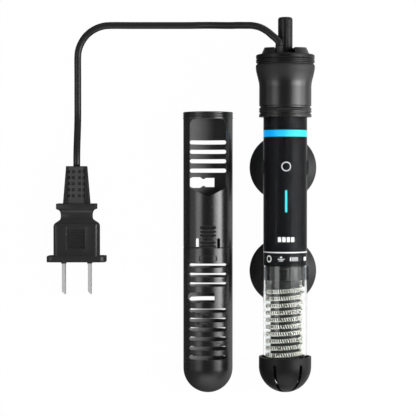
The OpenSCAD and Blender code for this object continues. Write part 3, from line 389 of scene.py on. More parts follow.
def printed_label():
    """Black film with pale prints: a ring, a bar of blocks, a line and a row of plain marks."""
    f = Finish("printed_label")
    x, y, z = f.place(HEATER_AXIS)
    side = x.maths("ARCTAN2", z) * 9.7  # distance round the film from its front

    def patch(across, along, half_w, half_h):
        return (abs(side - across) < half_w) * (abs(y - along) < half_h)

    def circle(across, along, radius, stroke):
        dx, dy = side - across, y - along
        return abs((dx * dx + dy * dy).maths("SQRT") - radius) < stroke / 2

    prints = [circle(0, RING_Y, 2.06, 0.36), abs(y - LINE_Y) < 0.26]
    prints += [patch(-3.15 + 2.1 * step, BLOCKS_Y, 0.78, 1.15) for step in range(4)]
    prints += [circle(-9.1, MARKS_Y, 1.4, 0.6), patch(-2.4, MARKS_Y, 1.6, 0.16)]
    prints += [patch(-2.4, MARKS_Y + 0.9, 0.5, 0.3), patch(-2.4, MARKS_Y - 0.8, 1.0, 0.16)]
    prints += [patch(2.1 + 1.15 * step, MARKS_Y, 0.26, 0.9) for step in range(4)]
    prints += [patch(11.6, MARKS_Y, 1.5, 0.9)]
    ink = sum(prints).maths("MINIMUM", 1.0)
    film = f.noise(120.0, 3.0)
    black = f.mix(film, colour(7, 7, 10), colour(10, 10, 13))
    return f.painted(
        base_color=f.mix(ink, black, grey(226)),
        roughness=f.between(film, 0.52, 0.6),
        specular=0.09,
        normal=f.bump(ink, 0.01),
    )


def accent_film(left, right):
    """Band that glows as painted light, from its darker left colour, painted shade, to its lighter
    right one, painted light.
    """
    f = Finish("accent_film")
    x = f.place(HEATER_AXIS)[0]
    fine = f.noise(900.0, 2.0)
    # Darker at the left as painted shade, lighter at the right as painted light; the emission is a
    # painted glow.
    painted_light_tint = f.mix(x.ramp(-6.5, 5.5), left, right)
    return f.painted(
        base_color=f.mix(fine * 0.08, f.mix(0.85, painted_light_tint, grey(0)), colour(0, 130, 170)),
        roughness=f.between(fine, 0.35, 0.45),
        specular=0.1,
        emission_color=painted_light_tint,
        emission_strength=0.75,
    )


def lit_bar():
    """Cyan light guide, lit along its stem and brighter at its middle."""
    f = Finish("lit_bar")
    x = f.place(HEATER_AXIS)[0]
    stem = f.mix(1 - abs(x) * 0.35, colour(20, 190, 230), colour(60, 244, 255))
    return f.painted(
        base_color=colour(0, 40, 48),
        roughness=0.3 + f.noise(800.0) * 0.1,
        emission_color=f.mix(abs(x) < 0.52, grey(2), stem),
        emission_strength=0.9,
    )


def circuit_board():
    """Green board with paler tracks."""
    f = Finish("circuit_board")
    x, y, _ = f.place(HEATER_AXIS)
    lanes = (y * 0.9).maths("PINGPONG", 1.0) < 0.2
    runs = (x * 1.3).maths("PINGPONG", 1.0) < 0.16
    tracks = (lanes + runs).maths("MINIMUM", 1.0)
    weave = f.noise(1500.0, 2.0)
    green = f.mix(weave, colour(14, 62, 34), colour(22, 80, 44))
    return f.painted(
        base_color=f.mix(tracks, green, colour(44, 118, 66)),
        roughness=f.between(weave, 0.3, 0.45),
        normal=f.bump(tracks, 0.03),
    )


def wound_wire():
    """Bright resistance wire with dark scale in flecks."""
    f = Finish("resistance_wire")
    drawn = f.noise(2600.0, 3.0)
    bare = f.noise(900.0, 3.0).ramp(0.37, 0.45)
    bright = f.mix(drawn, colour(238, 235, 226), colour(254, 252, 244))
    return f.painted(
        base_color=f.mix(bare, colour(66, 64, 58), bright),
        metallic=0.1,
        roughness=f.between(drawn, 0.3, 0.45),
        normal=f.bump(drawn, 0.01),
    )


def cord_jacket():
    """Round black cord jacket with faint drawn lines along it, on its own UV map."""
    f = Finish("cord_jacket")
    along = f.add("ShaderNodeUVMap", {"uv_map": "along"})
    lines = f.noise(1.0, 2.0, f.vector("MULTIPLY", along, (34.0, 900.0, 1.0)))
    return f.painted(
        base_color=f.mix(f.noise(70.0, 3.0), grey(27), grey(36)),
        roughness=f.between(lines, 0.3, 0.44),
        normal=f.bump(lines, 0.02),
    )


def dress(**finishes):
    """Gives CAD nodes their finishes."""
    for name, material in finishes.items():
        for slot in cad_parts[name].material_slots:
            slot.material = material


# ---------------------------------------------------------------- shapes


def new_object(name, data):
    piece = bpy.data.objects.new(name, data)
    bpy.context.scene.collection.objects.link(piece)
    return piece


def object_from(name, bm):
    """An object with the mesh of bm, which is freed."""
    mesh = bpy.data.meshes.new(name)
    bm.to_mesh(mesh)
    bm.free()
    return new_object(name, mesh)


def bake_modifiers(piece):
    """Turns what the modifiers make into a plain mesh, and removes them."""
    graph = bpy.context.evaluated_depsgraph_get()
    mesh = bpy.data.meshes.new_from_object(piece.evaluated_get(graph))
    piece.modifiers.clear()
    piece.data = mesh
    return piece


def finish_piece(piece, material, body, slot, *nodes, angle=35):
    """Smooths a piece's faces and gives it its material and body, and hides the nodes it replaces.
    slot is not used.
    """
    piece.data.materials.clear()
    piece.data.materials.append(material)
    for polygon in piece.data.polygons:
        polygon.use_smooth = True
        polygon.material_index = 0
    piece.data.set_sharp_from_angle(angle=math.radians(angle))
    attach(piece, body)
    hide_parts(*nodes)


def smooth_route(points, step):
    """Points a step apart on the smooth curve through the given ones."""
    dense = []
    padded = [2 * points[0] - points[1], *points, 2 * points[-1] - points[-2]]
    for a, b, c, d in zip(padded, padded[1:], padded[2:], padded[3:]):
        count = max(2, round((c - b).length / step))
        for i in range(count):
            t = i / count
            point = 2 * b + (c - a) * t + (2 * a - 5 * b + 4 * c - d) * t**2
            dense.append(0.5 * (point + (3 * b - a - 3 * c + d) * t**3))
    return [*dense, points[-1]]


def turned(name, outline, centre, steps):
    """A closed (radius, height) outline in mm, turned about a vertical axis through centre."""
    bm = bmesh.new()
    rings = []
    for radius, height in outline:
        ring = []
        for i in range(steps if radius > 1e-6 else 1):
            a = math.tau * i / steps
            x, y = radius * math.cos(a), radius * math.sin(a)
            ring.append(bm.verts.new((x * MM, y * MM, height * MM)))
        rings.append(ring)
    for low, high in zip(rings, rings[1:]):
        for i in range(steps):
            j = (i + 1) % steps
            ends = ((low, i), (low, j), (high, j), (high, i))
            corners = dict.fromkeys(ring[k % len(ring)] for ring, k in ends)
            if len(corners) > 2:
                bm.faces.new(list(corners))
    bmesh.ops.recalc_face_normals(bm, faces=bm.faces)
    piece = object_from(name, bm)
    piece.data.transform(centre)
    return piece


def merged(node):
    """A CAD node's mesh, its double vertices merged."""
    bm = bmesh.new()
    bm.from_mesh(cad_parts[node].data)
    bmesh.ops.remove_doubles(bm, verts=bm.verts, dist=1e-6)
    return bm


def softened(name, node, width_mm):
    """A merged copy of a CAD node with its edges rounded."""
    bm = merged(node)
    flat = math.radians(1.5)
    bmesh.ops.dissolve_limit(bm, angle_limit=flat, verts=bm.verts, edges=bm.edges)
    piece = object_from(name, bm)
    bevel = piece.modifiers.new("Rounding", "BEVEL")
    bevel.width = width_mm * MM
    bevel.segments = 2
    bevel.limit_method = "ANGLE"
    bevel.angle_limit = math.radians(30)
    bevel.use_clamp_overlap = True
    return bake_modifiers(piece)


def laminated(name, node, reach, across):
    """A merged copy of a CAD node, reach times as far from the tube's axis, across as wide."""
    x0, z0 = HEATER_AXIS[0] * MM, HEATER_AXIS[2] * MM
    bm = merged(node)
    for vertex in bm.verts:
        vertex.co.x = x0 + (vertex.co.x - x0) * reach * across
        vertex.co.z = z0 + (vertex.co.z - z0) * reach
    return object_from(name, bm)


# ---------------------------------------------------------------- geometry nodes


def geometry_tree(name, inputs):
    """A tree, its input node, and the line that comes in. It has a material among its inputs."""
    group = bpy.data.node_groups.new(name, "GeometryNodeTree")
    sockets = group.interface
    sockets.new_socket("Geometry", in_out="INPUT", socket_type="NodeSocketGeometry")
    for label, (kind, default) in inputs.items():
        socket = sockets.new_socket(label, in_out="INPUT", socket_type="NodeSocket" + kind)
        socket.default_value = default
    sockets.new_socket("Material", in_out="INPUT", socket_type="NodeSocketMaterial")
    sockets.new_socket("Geometry", in_out="OUTPUT", socket_type="NodeSocketGeometry")
    tree = Tree(group)
    start = tree.add("NodeGroupInput")
    return tree, start, tree.add("GeometryNodeMeshToCurve", None, {"Mesh": start})


def swept(tree, start, line, sides, radius):
    """Ends a tree in a round section along line, realized and with its material."""
    circle = {"Resolution": sides, "Radius": radius}
    section = tree.add("GeometryNodeCurvePrimitiveCircle", None, circle)
    sockets = {"Curve": line, "Profile Curve": section, "Fill Caps": True}
    tube = tree.add("GeometryNodeCurveToMesh", None, sockets)
    real = tree.add("GeometryNodeRealizeInstances", None, {0: tube})
    sockets = {"Geometry": real, "Material": start.out("Material")}
    made = tree.add("GeometryNodeSetMaterial", None, sockets)
    tree.add("NodeGroupOutput", None, {0: made})
    return tree.tree


def run_tree(name, group, mesh, **values):
    """The plain mesh that a tree makes from mesh, with values for its named inputs."""
    piece = new_object(name, mesh)
    modifier = piece.modifiers.new(group.name, "NODES")
    modifier.node_group = group
    for item in group.interface.items_tree:
        key = item.name.replace(" ", "_").lower()
        if item.in_out == "INPUT" and key in values:
            modifier[item.identifier] = values[key]
    return bake_modifiers(piece)


def winding_tree():
    """Winds a thin wire round a line."""
    inputs = {
        "Wire Radius": ("Float", 0.00022),
        "Loop Radius": ("Float", 0.00083),
        "Loop Pitch": ("Float", 0.0011),
        "Steps": ("Float", 13.0),
    }
    tree, start, line = geometry_tree("Winding", inputs)
    reach, pitch = start.out("Loop Radius"), start.out("Loop Pitch")
    sockets = {"Curve": line, "Length": pitch / start.out("Steps")}
    fine = tree.add("GeometryNodeResampleCurve", {"mode": "LENGTH"}, sockets)
    turn = tree.add("GeometryNodeSplineParameter").out("Length") / pitch * math.tau
    normal = tree.add("GeometryNodeInputNormal")
    across = tree.vector("CROSS_PRODUCT", tree.add("GeometryNodeInputTangent"), normal)
    offset = tree.vector(
        "ADD",
        tree.scaled(normal, turn.maths("COSINE") * reach),
        tree.scaled(across, turn.maths("SINE") * reach),
    )
    wound = tree.add("GeometryNodeSetPosition", None, {"Geometry": fine, "Offset": offset})
    return swept(tree, start, wound, 6, start.out("Wire Radius"))


def tube_tree():
    """Sweeps a round section along a line."""
    inputs = {"Radius": ("Float", 0.0006), "Sides": ("Int", 8)}
    tree, start, line = geometry_tree("Round tube", inputs)
    return swept(tree, start, line, start.out("Sides"), start.out("Radius"))


def line_mesh(name, points):
    """A mesh of edges through points, which the trees read as a line."""
    mesh = bpy.data.meshes.new(name)
    mesh.from_pydata(points, [(i, i + 1) for i in range(len(points) - 1)], [])
    return mesh


# ---------------------------------------------------------------- settings


SHARE = {"min": 0.0, "max": 1.0, "subtype": "FACTOR"}
TONE = {"min": 0.0, "max": 255.0}
TINT = {"min": 0.0, "max": 1.0, "subtype": "COLOR"}


class HeaterStageSettings(bpy.types.PropertyGroup):
    """Floor, lamps and camera."""

    floor_tone: FloatProperty(
        name="Floor tone", description="How much of the light the floor sends back",
        default=0.86, **SHARE,
    )
    floor_white: FloatProperty(
        name="Floor white", description="Share of plain white that the camera sees in the floor",
        default=0.98, **SHARE,
    )
    floor_mirrored: FloatProperty(
        name="Floor mirrored", description="Light of the floor in the gloss of the parts",
        default=0.08, **SHARE,
    )
    floor_right: FloatProperty(
        name="Floor at the right", description="The same, at the right of the guard",
        default=0.6, **SHARE,
    )
    left_lamp: FloatProperty(
        name="Left lamp", description="Radiance of the strip at the left",
        default=2.1, min=0.0,
    )
    right_lamp: FloatProperty(
        name="Right lamp", description="Radiance of the strip at the right",
        default=7.0, min=0.0,
    )
    fill: FloatProperty(
        name="Fill", description="Radiance of the small lamp overhead, which no gloss shows",
        default=60.0, min=0.0,
    )
    foot_lamp: FloatProperty(
        name="Foot lamp", description="Radiance of the lamps beyond the two ends",
        default=1.0, min=0.0,
    )
    sky: FloatProperty(
        name="Sky", description="Strength of the even light from all round",
        default=0.6, min=0.0,
    )
    sky_mirrored: FloatProperty(
        name="Sky mirrored", description="Strength of the sky in the gloss of the parts",
        default=0.25, min=0.0,
    )
    camera_height: FloatProperty(
        name="Camera height", description="Height of the camera over the floor",
        default=0.767, unit="LENGTH",
    )
    lens: FloatProperty(
        name="Lens", description="Focal length in millimetres", default=134.13, min=1.0,
    )


class HeaterFinishSettings(bpy.types.PropertyGroup):
    """Tones of the plastics and rubbers, as display values from 0 to 255."""

    body_tone: FloatProperty(
        name="Body tone", description="Black of the head, cap and bumper", default=20, **TONE,
    )
    guard_tone: FloatProperty(
        name="Guard tone", description="Black of the guard", default=21, **TONE,
    )
    rubber_tone: FloatProperty(
        name="Rubber tone", description="Black of the cups and the gland", default=44, **TONE,
    )
    plug_tone: FloatProperty(
        name="Plug tone", description="Black of the plug and its relief", default=37, **TONE,
    )
    blade_tone: FloatProperty(
        name="Blade tone", description="Tone of the plug's blades", default=192, **TONE,
    )
    # The band's two colours: darker at its left as painted shade, lighter at its right as painted
    # light.
    band_left: FloatVectorProperty(
        name="Band, left", description="Colour of the band at its left",
        default=colour(0, 176, 255)[:3], **TINT,
    )
    band_right: FloatVectorProperty(
        name="Band, right", description="Colour of the band at its right",
        default=colour(72, 248, 255)[:3], **TINT,
    )


class HeaterElementSettings(bpy.types.PropertyGroup):
    """The heating element's wire."""

    wire_diameter: FloatProperty(
        name="Wire diameter", description="Thickness of the wound wire",
        default=0.00044, unit="LENGTH",
    )
    loop_radius: FloatProperty(
        name="Loop radius", description="Middle of the wire's loops from the strand's line",
        default=0.00083, unit="LENGTH",
    )
    loop_pitch: FloatProperty(
        name="Loop pitch", description="Distance from one loop to the next",
        default=0.0011, unit="LENGTH",
    )
    strand_radius: FloatProperty(
        name="Strand radius", description="Radius of the dark strand inside the loops",
        default=0.0006, unit="LENGTH",
    )


class HeaterCupSettings(bpy.types.PropertyGroup):
    """The suction cups."""

    radius: FloatProperty(
        name="Radius", description="Radius of the lip", default=0.0165, unit="LENGTH",
    )
    hollow: FloatProperty(
        name="Hollow", description="Depth of the hollow under the dome", default=0.0032,
        unit="LENGTH",
    )
    steps: IntProperty(
        name="Steps", description="Corners of each ring", default=128, min=24, max=512,
    )


class HeaterLeadSettings(bpy.types.PropertyGroup):
    """The mains lead."""

    diameter: FloatProperty(
        name="Diameter", description="Diameter of the cord", default=0.0034, unit="LENGTH",
    )
    sides: IntProperty(
        name="Sides", description="Sides of the cord's section", default=28, min=8, max=64,
    )
    step: FloatProperty(
        name="Step", description="Distance from one ring of the cord to the next",
        default=0.0012, unit="LENGTH",
    )


SETTINGS = {
    "heater_stage": HeaterStageSettings,
    "heater_finish": HeaterFinishSettings,
    "heater_element": HeaterElementSettings,
    "heater_cups": HeaterCupSettings,
    "heater_lead": HeaterLeadSettings,
}


# ---------------------------------------------------------------- operators


class HEATER_OT_stage(bpy.types.Operator):
    """Make the floor, the lamps, the sky and the camera"""

    bl_idname = "heater.stage"
    bl_label = "Stage"

    def execute(self, context):
        s = context.scene.heater_stage
        self.camera(context, s)
        self.floor(s)
        self.sky(context, s)
        self.fill("high_fill", 18, 0, (0.2, 0.08), s.fill, 0.75, glossy=False)
        self.fill("foot_lamp", 0, -62, (0.7, 0.5), s.foot_lamp)
        self.fill("top_lamp", 0, 66, (0.7, 0.05), s.foot_lamp * 2)
        self.strip("left_strip", -58, -32, s.left_lamp)
        self.strip("left_low_strip", -95, -58, s.left_lamp * 0.18)
        self.strip("right_high_strip", 28, 44, s.right_lamp * 0.55)
        self.strip("right_strip", 44, 66, s.right_lamp)
        self.strip("right_low_strip", 66, 95, s.right_lamp * 0.45)
        context.scene.view_settings.view_transform = "Standard"
        return {"FINISHED"}

    @staticmethod
    def camera(context, s):
        data = bpy.data.cameras.new("camera")
        data.sensor_width, data.lens = 36.0, s.lens
        data.clip_start, data.clip_end = 0.01, 50.0
        camera = new_object("camera", data)
        camera.location = (*CAMERA_FOOT, s.camera_height)
        aim = CAMERA_AIM - camera.location
        camera.rotation_euler = (math.atan2(aim.y, -aim.z), 0, 0)
        context.scene.camera = camera

    @staticmethod
    def floor(s):
        half = 6.0
        corners = [(-half, -half, 0), (half, -half, 0), (half, half, 0), (-half, half, 0)]
        mesh = bpy.data.meshes.new("floor")
        mesh.from_pydata(corners, [], [(0, 1, 2, 3)])
        floor = new_object("floor", mesh)
        f = Finish("white_floor")
        tone = {"Color": (s.floor_tone,) * 3 + (1,), "Roughness": 0.6}
        paper = f.add("ShaderNodeBsdfDiffuse", None, tone)
        white = f.add("ShaderNodeEmission", None, {"Strength": 1.0})
        path = f.add("ShaderNodeLightPath")
        seen = path.out("Is Camera Ray").maths("MAXIMUM", path.out("Is Transmission Ray"))
        lit = f.blend(seen * s.floor_white, paper, white)
        right = f.place((0, 0, 0))[0].ramp(-12.0, 6.0)
        glow = f.between(right, s.floor_mirrored, s.floor_right)
        mirrored = f.add("ShaderNodeEmission", None, {"Strength": glow})
        sheen = path.out("Is Glossy Ray") * (1 - seen)
        mesh.materials.append(f.done(f.blend(sheen, lit, mirrored)))

    @staticmethod
    def sky(context, s):
        """White at the horizon and dim overhead, so that black stays black."""
        world = bpy.data.worlds.new("studio")
        context.scene.world = world
        world.use_nodes = True
        tree = Tree(world.node_tree)
        world.node_tree.nodes.clear()
        where = tree.add("ShaderNodeTexCoord").out("Generated")
        height = tree.add("ShaderNodeSeparateXYZ", None, {0: where}).out("Z")
        shade = tree.add("ShaderNodeValToRGB", None, {"Fac": height})
        stops = ((0.0, 200), (0.25, 180), (0.75, 150), (1.0, 110))
        elements = shade.socket.node.color_ramp.elements
        while len(elements) < len(stops):
            elements.new(1)
        for element, (position, tone) in zip(elements, stops):
            element.position, element.color = position, grey(tone)
        path = tree.add("ShaderNodeLightPath")
        seen = path.out("Is Camera Ray")
        gloss = path.out("Is Glossy Ray").maths("MAXIMUM", path.out("Is Transmission Ray"))
        strength = gloss * (s.sky_mirrored - s.sky) + s.sky
        lit = tree.add("ShaderNodeBackground", None, {"Color": shade, "Strength": strength})
        white = tree.add("ShaderNodeBackground", None, {"Strength": 1.0})
        tree.add("ShaderNodeOutputWorld", None, {"Surface": tree.blend(seen, lit, white)})

    @staticmethod
    def lamp(name, size, radiance, place, turn, glossy=True):
        """A rectangular lamp that the camera doesn't see."""
        data = bpy.data.lights.new(name, "AREA")
        data.shape = "RECTANGLE"
        data.size, data.size_y = size
        data.energy = radiance * math.pi * size[0] * size[1]
        lamp = new_object(name, data)
        lamp.location, lamp.rotation_euler = place, turn
        lamp.visible_camera, lamp.visible_glossy = False, glossy

    def fill(self, name, across, along, size, radiance, distance=0.6, glossy=True):
        """A soft lamp that leans across and along the heater by so many degrees."""
        a, b = math.radians(across), math.radians(along)
        place = Vector((math.sin(a), math.sin(b), math.cos(a) * math.cos(b))) * distance
        self.lamp(name, size, radiance, place, (-b, a, 0), glossy)

    def strip(self, name, low, high, radiance):
        """A strip lamp along the heater, between two angles from straight up."""
        lean = math.radians((low + high) / 2)
        width = 2 * STRIP_DISTANCE * math.tan(math.radians(high - low) / 2)
        place = (STRIP_DISTANCE * math.sin(lean), STRIP_Y, STRIP_DISTANCE * math.cos(lean))
        self.lamp(name, (width, STRIP_LENGTH), radiance, place, (0, lean, 0))


class HEATER_OT_housing(bpy.types.Operator):
    """Finish the head, cap, knob, clips and bumper"""

    bl_idname = "heater.housing"
    bl_label = "Housing"

    def execute(self, context):
        tone = context.scene.heater_finish.body_tone
        clips = smoked_plastic()
        dress(
            head_shell=moulded("head_plastic", tone, 0.3, edge=0.15, lift=6, matt_from=SHOULDER_Y),
            cap_ring=moulded("ring_plastic", tone * 0.8, 0.3, edge=0.15, lift=9, gloss=0.4),
            cap_plate=moulded("cap_plastic", tone, 0.36, lift=5),
            temperature_knob=moulded("knob_plastic", tone * 1.1, 0.4, edge=0.15, gloss=0.5),
            upper_clip=clips,
            lower_clip=clips,
            end_bumper=rubber("bumper_rubber", tone * 0.85, 0.42, gloss=0.34),
        )
        return {"FINISHED"}


class HEATER_OT_tube(bpy.types.Operator):
    """Finish the glass, the label, the band and the lit bar"""

    bl_idname = "heater.tube"
    bl_label = "Tube and label"

    def execute(self, context):
        tones = context.scene.heater_finish
        band = accent_film((*tones.band_left, 1), (*tones.band_right, 1))
        for name, node, material, slot, across in (
            ("label_film", "label_sleeve", printed_label(), "label_black", 1),
            ("band_film", "accent_band", band, "cyan_band", 1),
            ("lit_guide", "light_bar", lit_bar(), "cyan_guide", 0.8),
        ):
            piece = laminated(name, node, FILM_RADIUS / SLEEVE_RADIUS, across)
            finish_piece(piece, material, "heater", slot, node, angle=20)
        seals = rubber("seal_rubber", 22, 0.45)
        dress(
            glass_tube=clear_glass(),
            tube_stopper=spotted("stopper_silicone", grey(70), grey(84), 300.0, 0.55),
            tube_seals=seals,
            cap_gasket=seals,
            knob_seal=seals,
            bottom_pad=rubber("pad_rubber", 60, 0.5),
        )
        return {"FINISHED"}


class HEATER_OT_inside(bpy.types.Operator):
    """Finish the parts inside the tube"""

    bl_idname = "heater.inside"
    bl_label = "Inside parts"

    def execute(self, context):
        red, blue = colour(92, 40, 26), colour(36, 60, 120)
        case = (colour(24, 52, 120), colour(30, 64, 140))
        dress(
            control_board=circuit_board(),
            light_module=spotted("lamp_block", grey(30), grey(44), 900.0, 0.4),
            board_parts=spotted("board_parts", grey(24), colour(70, 62, 48), 260.0, 0.35),
            thermal_fuse=metal("fuse_case", 205, 0.3),
            temperature_probe=spotted("probe_epoxy", grey(16), grey(34), 600.0, 0.25),
            supply_wires=spotted("wire_insulation", red, blue, 30.0, 0.4),
            potentiometer=spotted("potentiometer_case", *case, 500.0, 0.35),
            knob_spindle=moulded("spindle_nylon", 190, 0.45),
            element_collar=moulded("collar_plastic", 16, 0.24, edge=0.3, lift=14, gloss=0.3),
            element_leads=metal("lead_nickel", 210, 0.28),
            ceramic_core=spotted("dark_ceramic", grey(10), grey(22), 500.0, 0.7),
        )
        return {"FINISHED"}


# The heating coil in mm, about the heater's axis: the middle line's radius, the height of turn 0,
# the rise of a turn, the first and last turn, the points in a turn, and the radius of the bend and
# the length of the straight lead at each end.
COIL_R, COIL_Z, COIL_PITCH = 8.3, 17.796, 3.38
COIL_TURNS, COIL_STEPS = (-0.2, 9.55), 64
COIL_BEND, COIL_LEAD = 1.4, 2.47


def coil_line():
    """Points of the coil's middle line, a straight lead at each end."""

    def at(turn):
        a, height = math.tau * turn, COIL_Z + turn * COIL_PITCH
        return Vector((-math.cos(a) * COIL_R, -math.sin(a) * COIL_R, height))

    def lead(turn, sign):
        """A quarter bend and a straight lead, from the end of the turns."""
        a = math.tau * turn
        ahead = Vector((math.sin(a), -math.cos(a), 0)) * sign * COIL_BEND
        up = Vector((0, 0, sign))
        bend = []
        for step in range(1, 7):
            b = math.radians(15 * step)
            bend.append(at(turn) + ahead * math.sin(b) + up * (COIL_BEND * (1 - math.cos(b))))
        return [*bend, bend[-1] + up * COIL_LEAD]

    low, high = COIL_TURNS
    count = round((high - low) * COIL_STEPS)
    turns = [at(low + (high - low) * i / count) for i in range(count + 1)]
    line = [*reversed(lead(low, -1)), *turns, *lead(high, 1)]
    x0, y0, z0 = HEATER_AXIS
    return [Vector((x0 + p.x, y0 + p.z, z0 - p.y)) * MM for p in line]


class HEATER_OT_element(bpy.types.Operator):
    """Make the coiled heating wire and the strand inside it"""

    bl_idname = "heater.element"
    bl_label = "Heating element"

    def execute(self, context):
        s = context.scene.heater_element
        wire = wound_wire()
        dark = spotted("strand_core", grey(8), grey(26), 900.0, 0.6)
        winding = {
            "wire_radius": s.wire_diameter / 2,
            "loop_radius": s.loop_radius,
            "loop_pitch": s.loop_pitch,
            "steps": 13.0,
        }
        strand = {"radius": s.strand_radius, "sides": 8}
        for name, tree, sizes, material in (
            ("element_wire", winding_tree(), winding, wire),
            ("element_strand", tube_tree(), strand, dark),
        ):
            line = line_mesh(name, coil_line())
            piece = run_tree(name, tree, line, material=material, **sizes)
            finish_piece(piece, material, "heater", "heating_wire", "heating_coil", angle=180)
        return {"FINISHED"}


class HEATER_OT_cups(bpy.types.Operator):
    """Make the two suction cups"""

    bl_idname = "heater.cups"
    bl_label = "Suction cups"

    def execute(self, context):
        s = context.scene.heater_cups
        tone = context.scene.heater_finish.rubber_tone
        soft = rubber("cup_rubber", tone, 0.44, 0.004, gloss=0.3)
        for end in ("upper", "lower"):
            low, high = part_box(end + "_cup")
            middle = (low + high) / 2
            centre = Matrix.Translation((middle.x, middle.y, 0))
            outline = self.outline(s, high.z / MM)
            cup = turned(end + "_cup_rubber", outline, centre, s.steps)
            finish_piece(cup, soft, end + "_cup", "cup_rubber", end + "_cup")
        return {"FINISHED"}

    @staticmethod
    def outline(s, top):
        """Half section from the hollow's middle, round the lip and up to the button."""
        radius, hollow = s.radius / MM, s.hollow / MM
        dome, boss, neck, button, neck_top = 5.6, 4.2, 1.55, 2.6, top - 1.8
        inner = radius - 1.5
        under = [
            (inner * t, hollow * (1 - t**2) + 0.02 * t)
            for t in (0, 0.2, 0.4, 0.6, 0.75, 0.88, 0.96, 1.0)
        ]
        lip = [
            (radius - 0.9, 0.0), (radius - 0.3, 0.0), (radius, 0.25), (radius, 0.45),
            (radius - 0.25, 0.7),
        ]
        over = []
        for i in range(1, 9):
            t = i / 9
            r = radius - 0.25 + (boss + 0.5 - radius + 0.25) * t
            over.append((r, 0.7 + (dome - 0.7) * math.sin(t * math.pi / 2) ** 1.1))
        crown = [
            (boss + 0.25, dome), (boss, dome + 0.25), (boss, 6.7), (boss - 0.3, 7.0),
            (neck + 0.2, 7.0), (neck, 7.2), (neck, neck_top), (button - 0.25, neck_top),
            (button, neck_top + 0.25),
        ]
        head = []
        for i in range(7):
            a = math.radians(15 * i)
            head.append((button - 0.9 + 0.9 * math.cos(a), top - 0.9 + 0.9 * math.sin(a)))
        return [*under, *lip, *over, *crown, *head, (0, top)]


# Route of the cord in mm, from the gland to the plug, as the solids have it.
CORD_ROUTE = (
    (13.15, 76.6, 26.8), (13.05, 78.2, 26.7), (11.9, 79.9, 26.2), (10, 81.6, 25.4),
    (7.6, 83.8, 24), (4.3, 85.9, 21.6), (0.7, 87, 19), (-2.4, 87.3, 16.8),
    (-6.2, 87.6, 13.9), (-10, 87.8, 11), (-13.9, 88.1, 8.3), (-17.8, 88.4, 5.8),
    (-21.7, 88.6, 3.8), (-25.7, 88.7, 2.5), (-29.6, 88.7, 1.9), (-34, 88.7, 1.75),
    (-46, 88.7, 1.75), (-58, 88.7, 1.75), (-69, 88.7, 1.75), (-73.1, 88.2, 1.75),
    (-77, 86.6, 1.75), (-80.3, 84.1, 1.75), (-82.8, 80.8, 1.75), (-84.4, 76.9, 1.75),
    (-84.9, 72.8, 1.75), (-84.9, 64, 1.75), (-84.9, 55, 1.75), (-84.9, 46, 1.8),
    (-84.9, 42, 2.25), (-84.9, 38, 3.5), (-84.9, 34, 5.1), (-84.9, 30, 6.8),
    (-84.9, 26, 8), (-84.9, 22, 8.5), (-84.9, 19.4, 8.5),
)


class HEATER_OT_lead(bpy.types.Operator):
    """Make the cord, the strain relief and the plug"""

    bl_idname = "heater.lead"
    bl_label = "Mains lead"

    def execute(self, context):
        s = context.scene.heater_lead
        tones = context.scene.heater_finish
        route = smooth_route([Vector(p) * MM for p in CORD_ROUTE], s.step)
        length = sum((b - a).length for a, b in zip(route, route[1:]))
        cord = self.tube("cord_jacket", route, s.diameter / 2, s.sides)
        finish_piece(cord, cord_jacket(), "heater", "black_rubber", "cord", angle=180)
        tone = tones.plug_tone
        ribs = ((PLUG_X, -16.0, 0), 4.4, 4.6, tone * 0.45)
        body = moulded("plug_plastic", tone, 0.38, 0.008, lift=4, gloss=0.6, grip_and_highlight=ribs)
        plug = softened("plug_shell", "plug_body", 0.35)
        finish_piece(plug, body, "heater", "black_plastic", "plug_body")
        # Lighter middle of the strain relief: a painted highlight.
        highlight_bars = ((PLUG_X, 10.0, 0), 3.7, 9.0, tone * 1.75)
        sleeve = moulded("relief_rubber", tone * 0.85, 0.46, lift=5, gloss=0.5, grip_and_highlight=highlight_bars)
        relief = softened("strain_relief", "plug_boot", 0.2)
        finish_piece(relief, sleeve, "heater", "black_rubber", "plug_boot")
        dress(plug_blades=metal("blade_nickel", tones.blade_tone, 0.45, (0.06, 0.01, 0.06), 0.2))
        return {"FINISHED"}

    @staticmethod
    def tube(name, route, radius, sides):
        """A round tube with closed ends and a UV map along it."""
        bm = bmesh.new()
        uv = bm.loops.layers.uv.new("along")
        rings, lengths = [], [0.0]
        side = None
        for i, point in enumerate(route):
            ahead = route[min(i + 1, len(route) - 1)] - route[max(i - 1, 0)]
            ahead.normalize()
            side = (side or ahead.cross(Vector((0, 0, 1)))).normalized()
            side = (side - ahead * side.dot(ahead)).normalized()
            other = ahead.cross(side)
            if i:
                lengths.append(lengths[-1] + (point - route[i - 1]).length)
            ring = []
            for k in range(sides):
                a = math.tau * k / sides
                place = point + side * radius * math.cos(a) + other * radius * math.sin(a)
                ring.append(bm.verts.new(place))
            rings.append(ring)
        for i, (low, high) in enumerate(zip(rings, rings[1:])):
            for k in range(sides):
                j = (k + 1) % sides
                face = bm.faces.new((low[k], low[j], high[j], high[k]))
                corners = ((i, k), (i, k + 1), (i + 1, k + 1), (i + 1, k))
                for loop, (ring, around) in zip(face.loops, corners):
                    loop[uv].uv = (around / sides, lengths[ring])
        bm.faces.new(list(reversed(rings[0])))
        bm.faces.new(rings[-1])
        bmesh.ops.recalc_face_normals(bm, faces=bm.faces)
        return object_from(name, bm)


class HEATER_OT_gland(bpy.types.Operator):
    """Make the ringed cord gland on the cap"""

    bl_idname = "heater.gland"
    bl_label = "Cord gland"

    def execute(self, context):
        soft = rubber("gland_rubber", context.scene.heater_finish.rubber_tone, 0.45)
        piece = softened("gland_rubber", "cord_gland", 0.15)
        finish_piece(piece, soft, "heater", "black_rubber", "cord_gland")
        return {"FINISHED"}


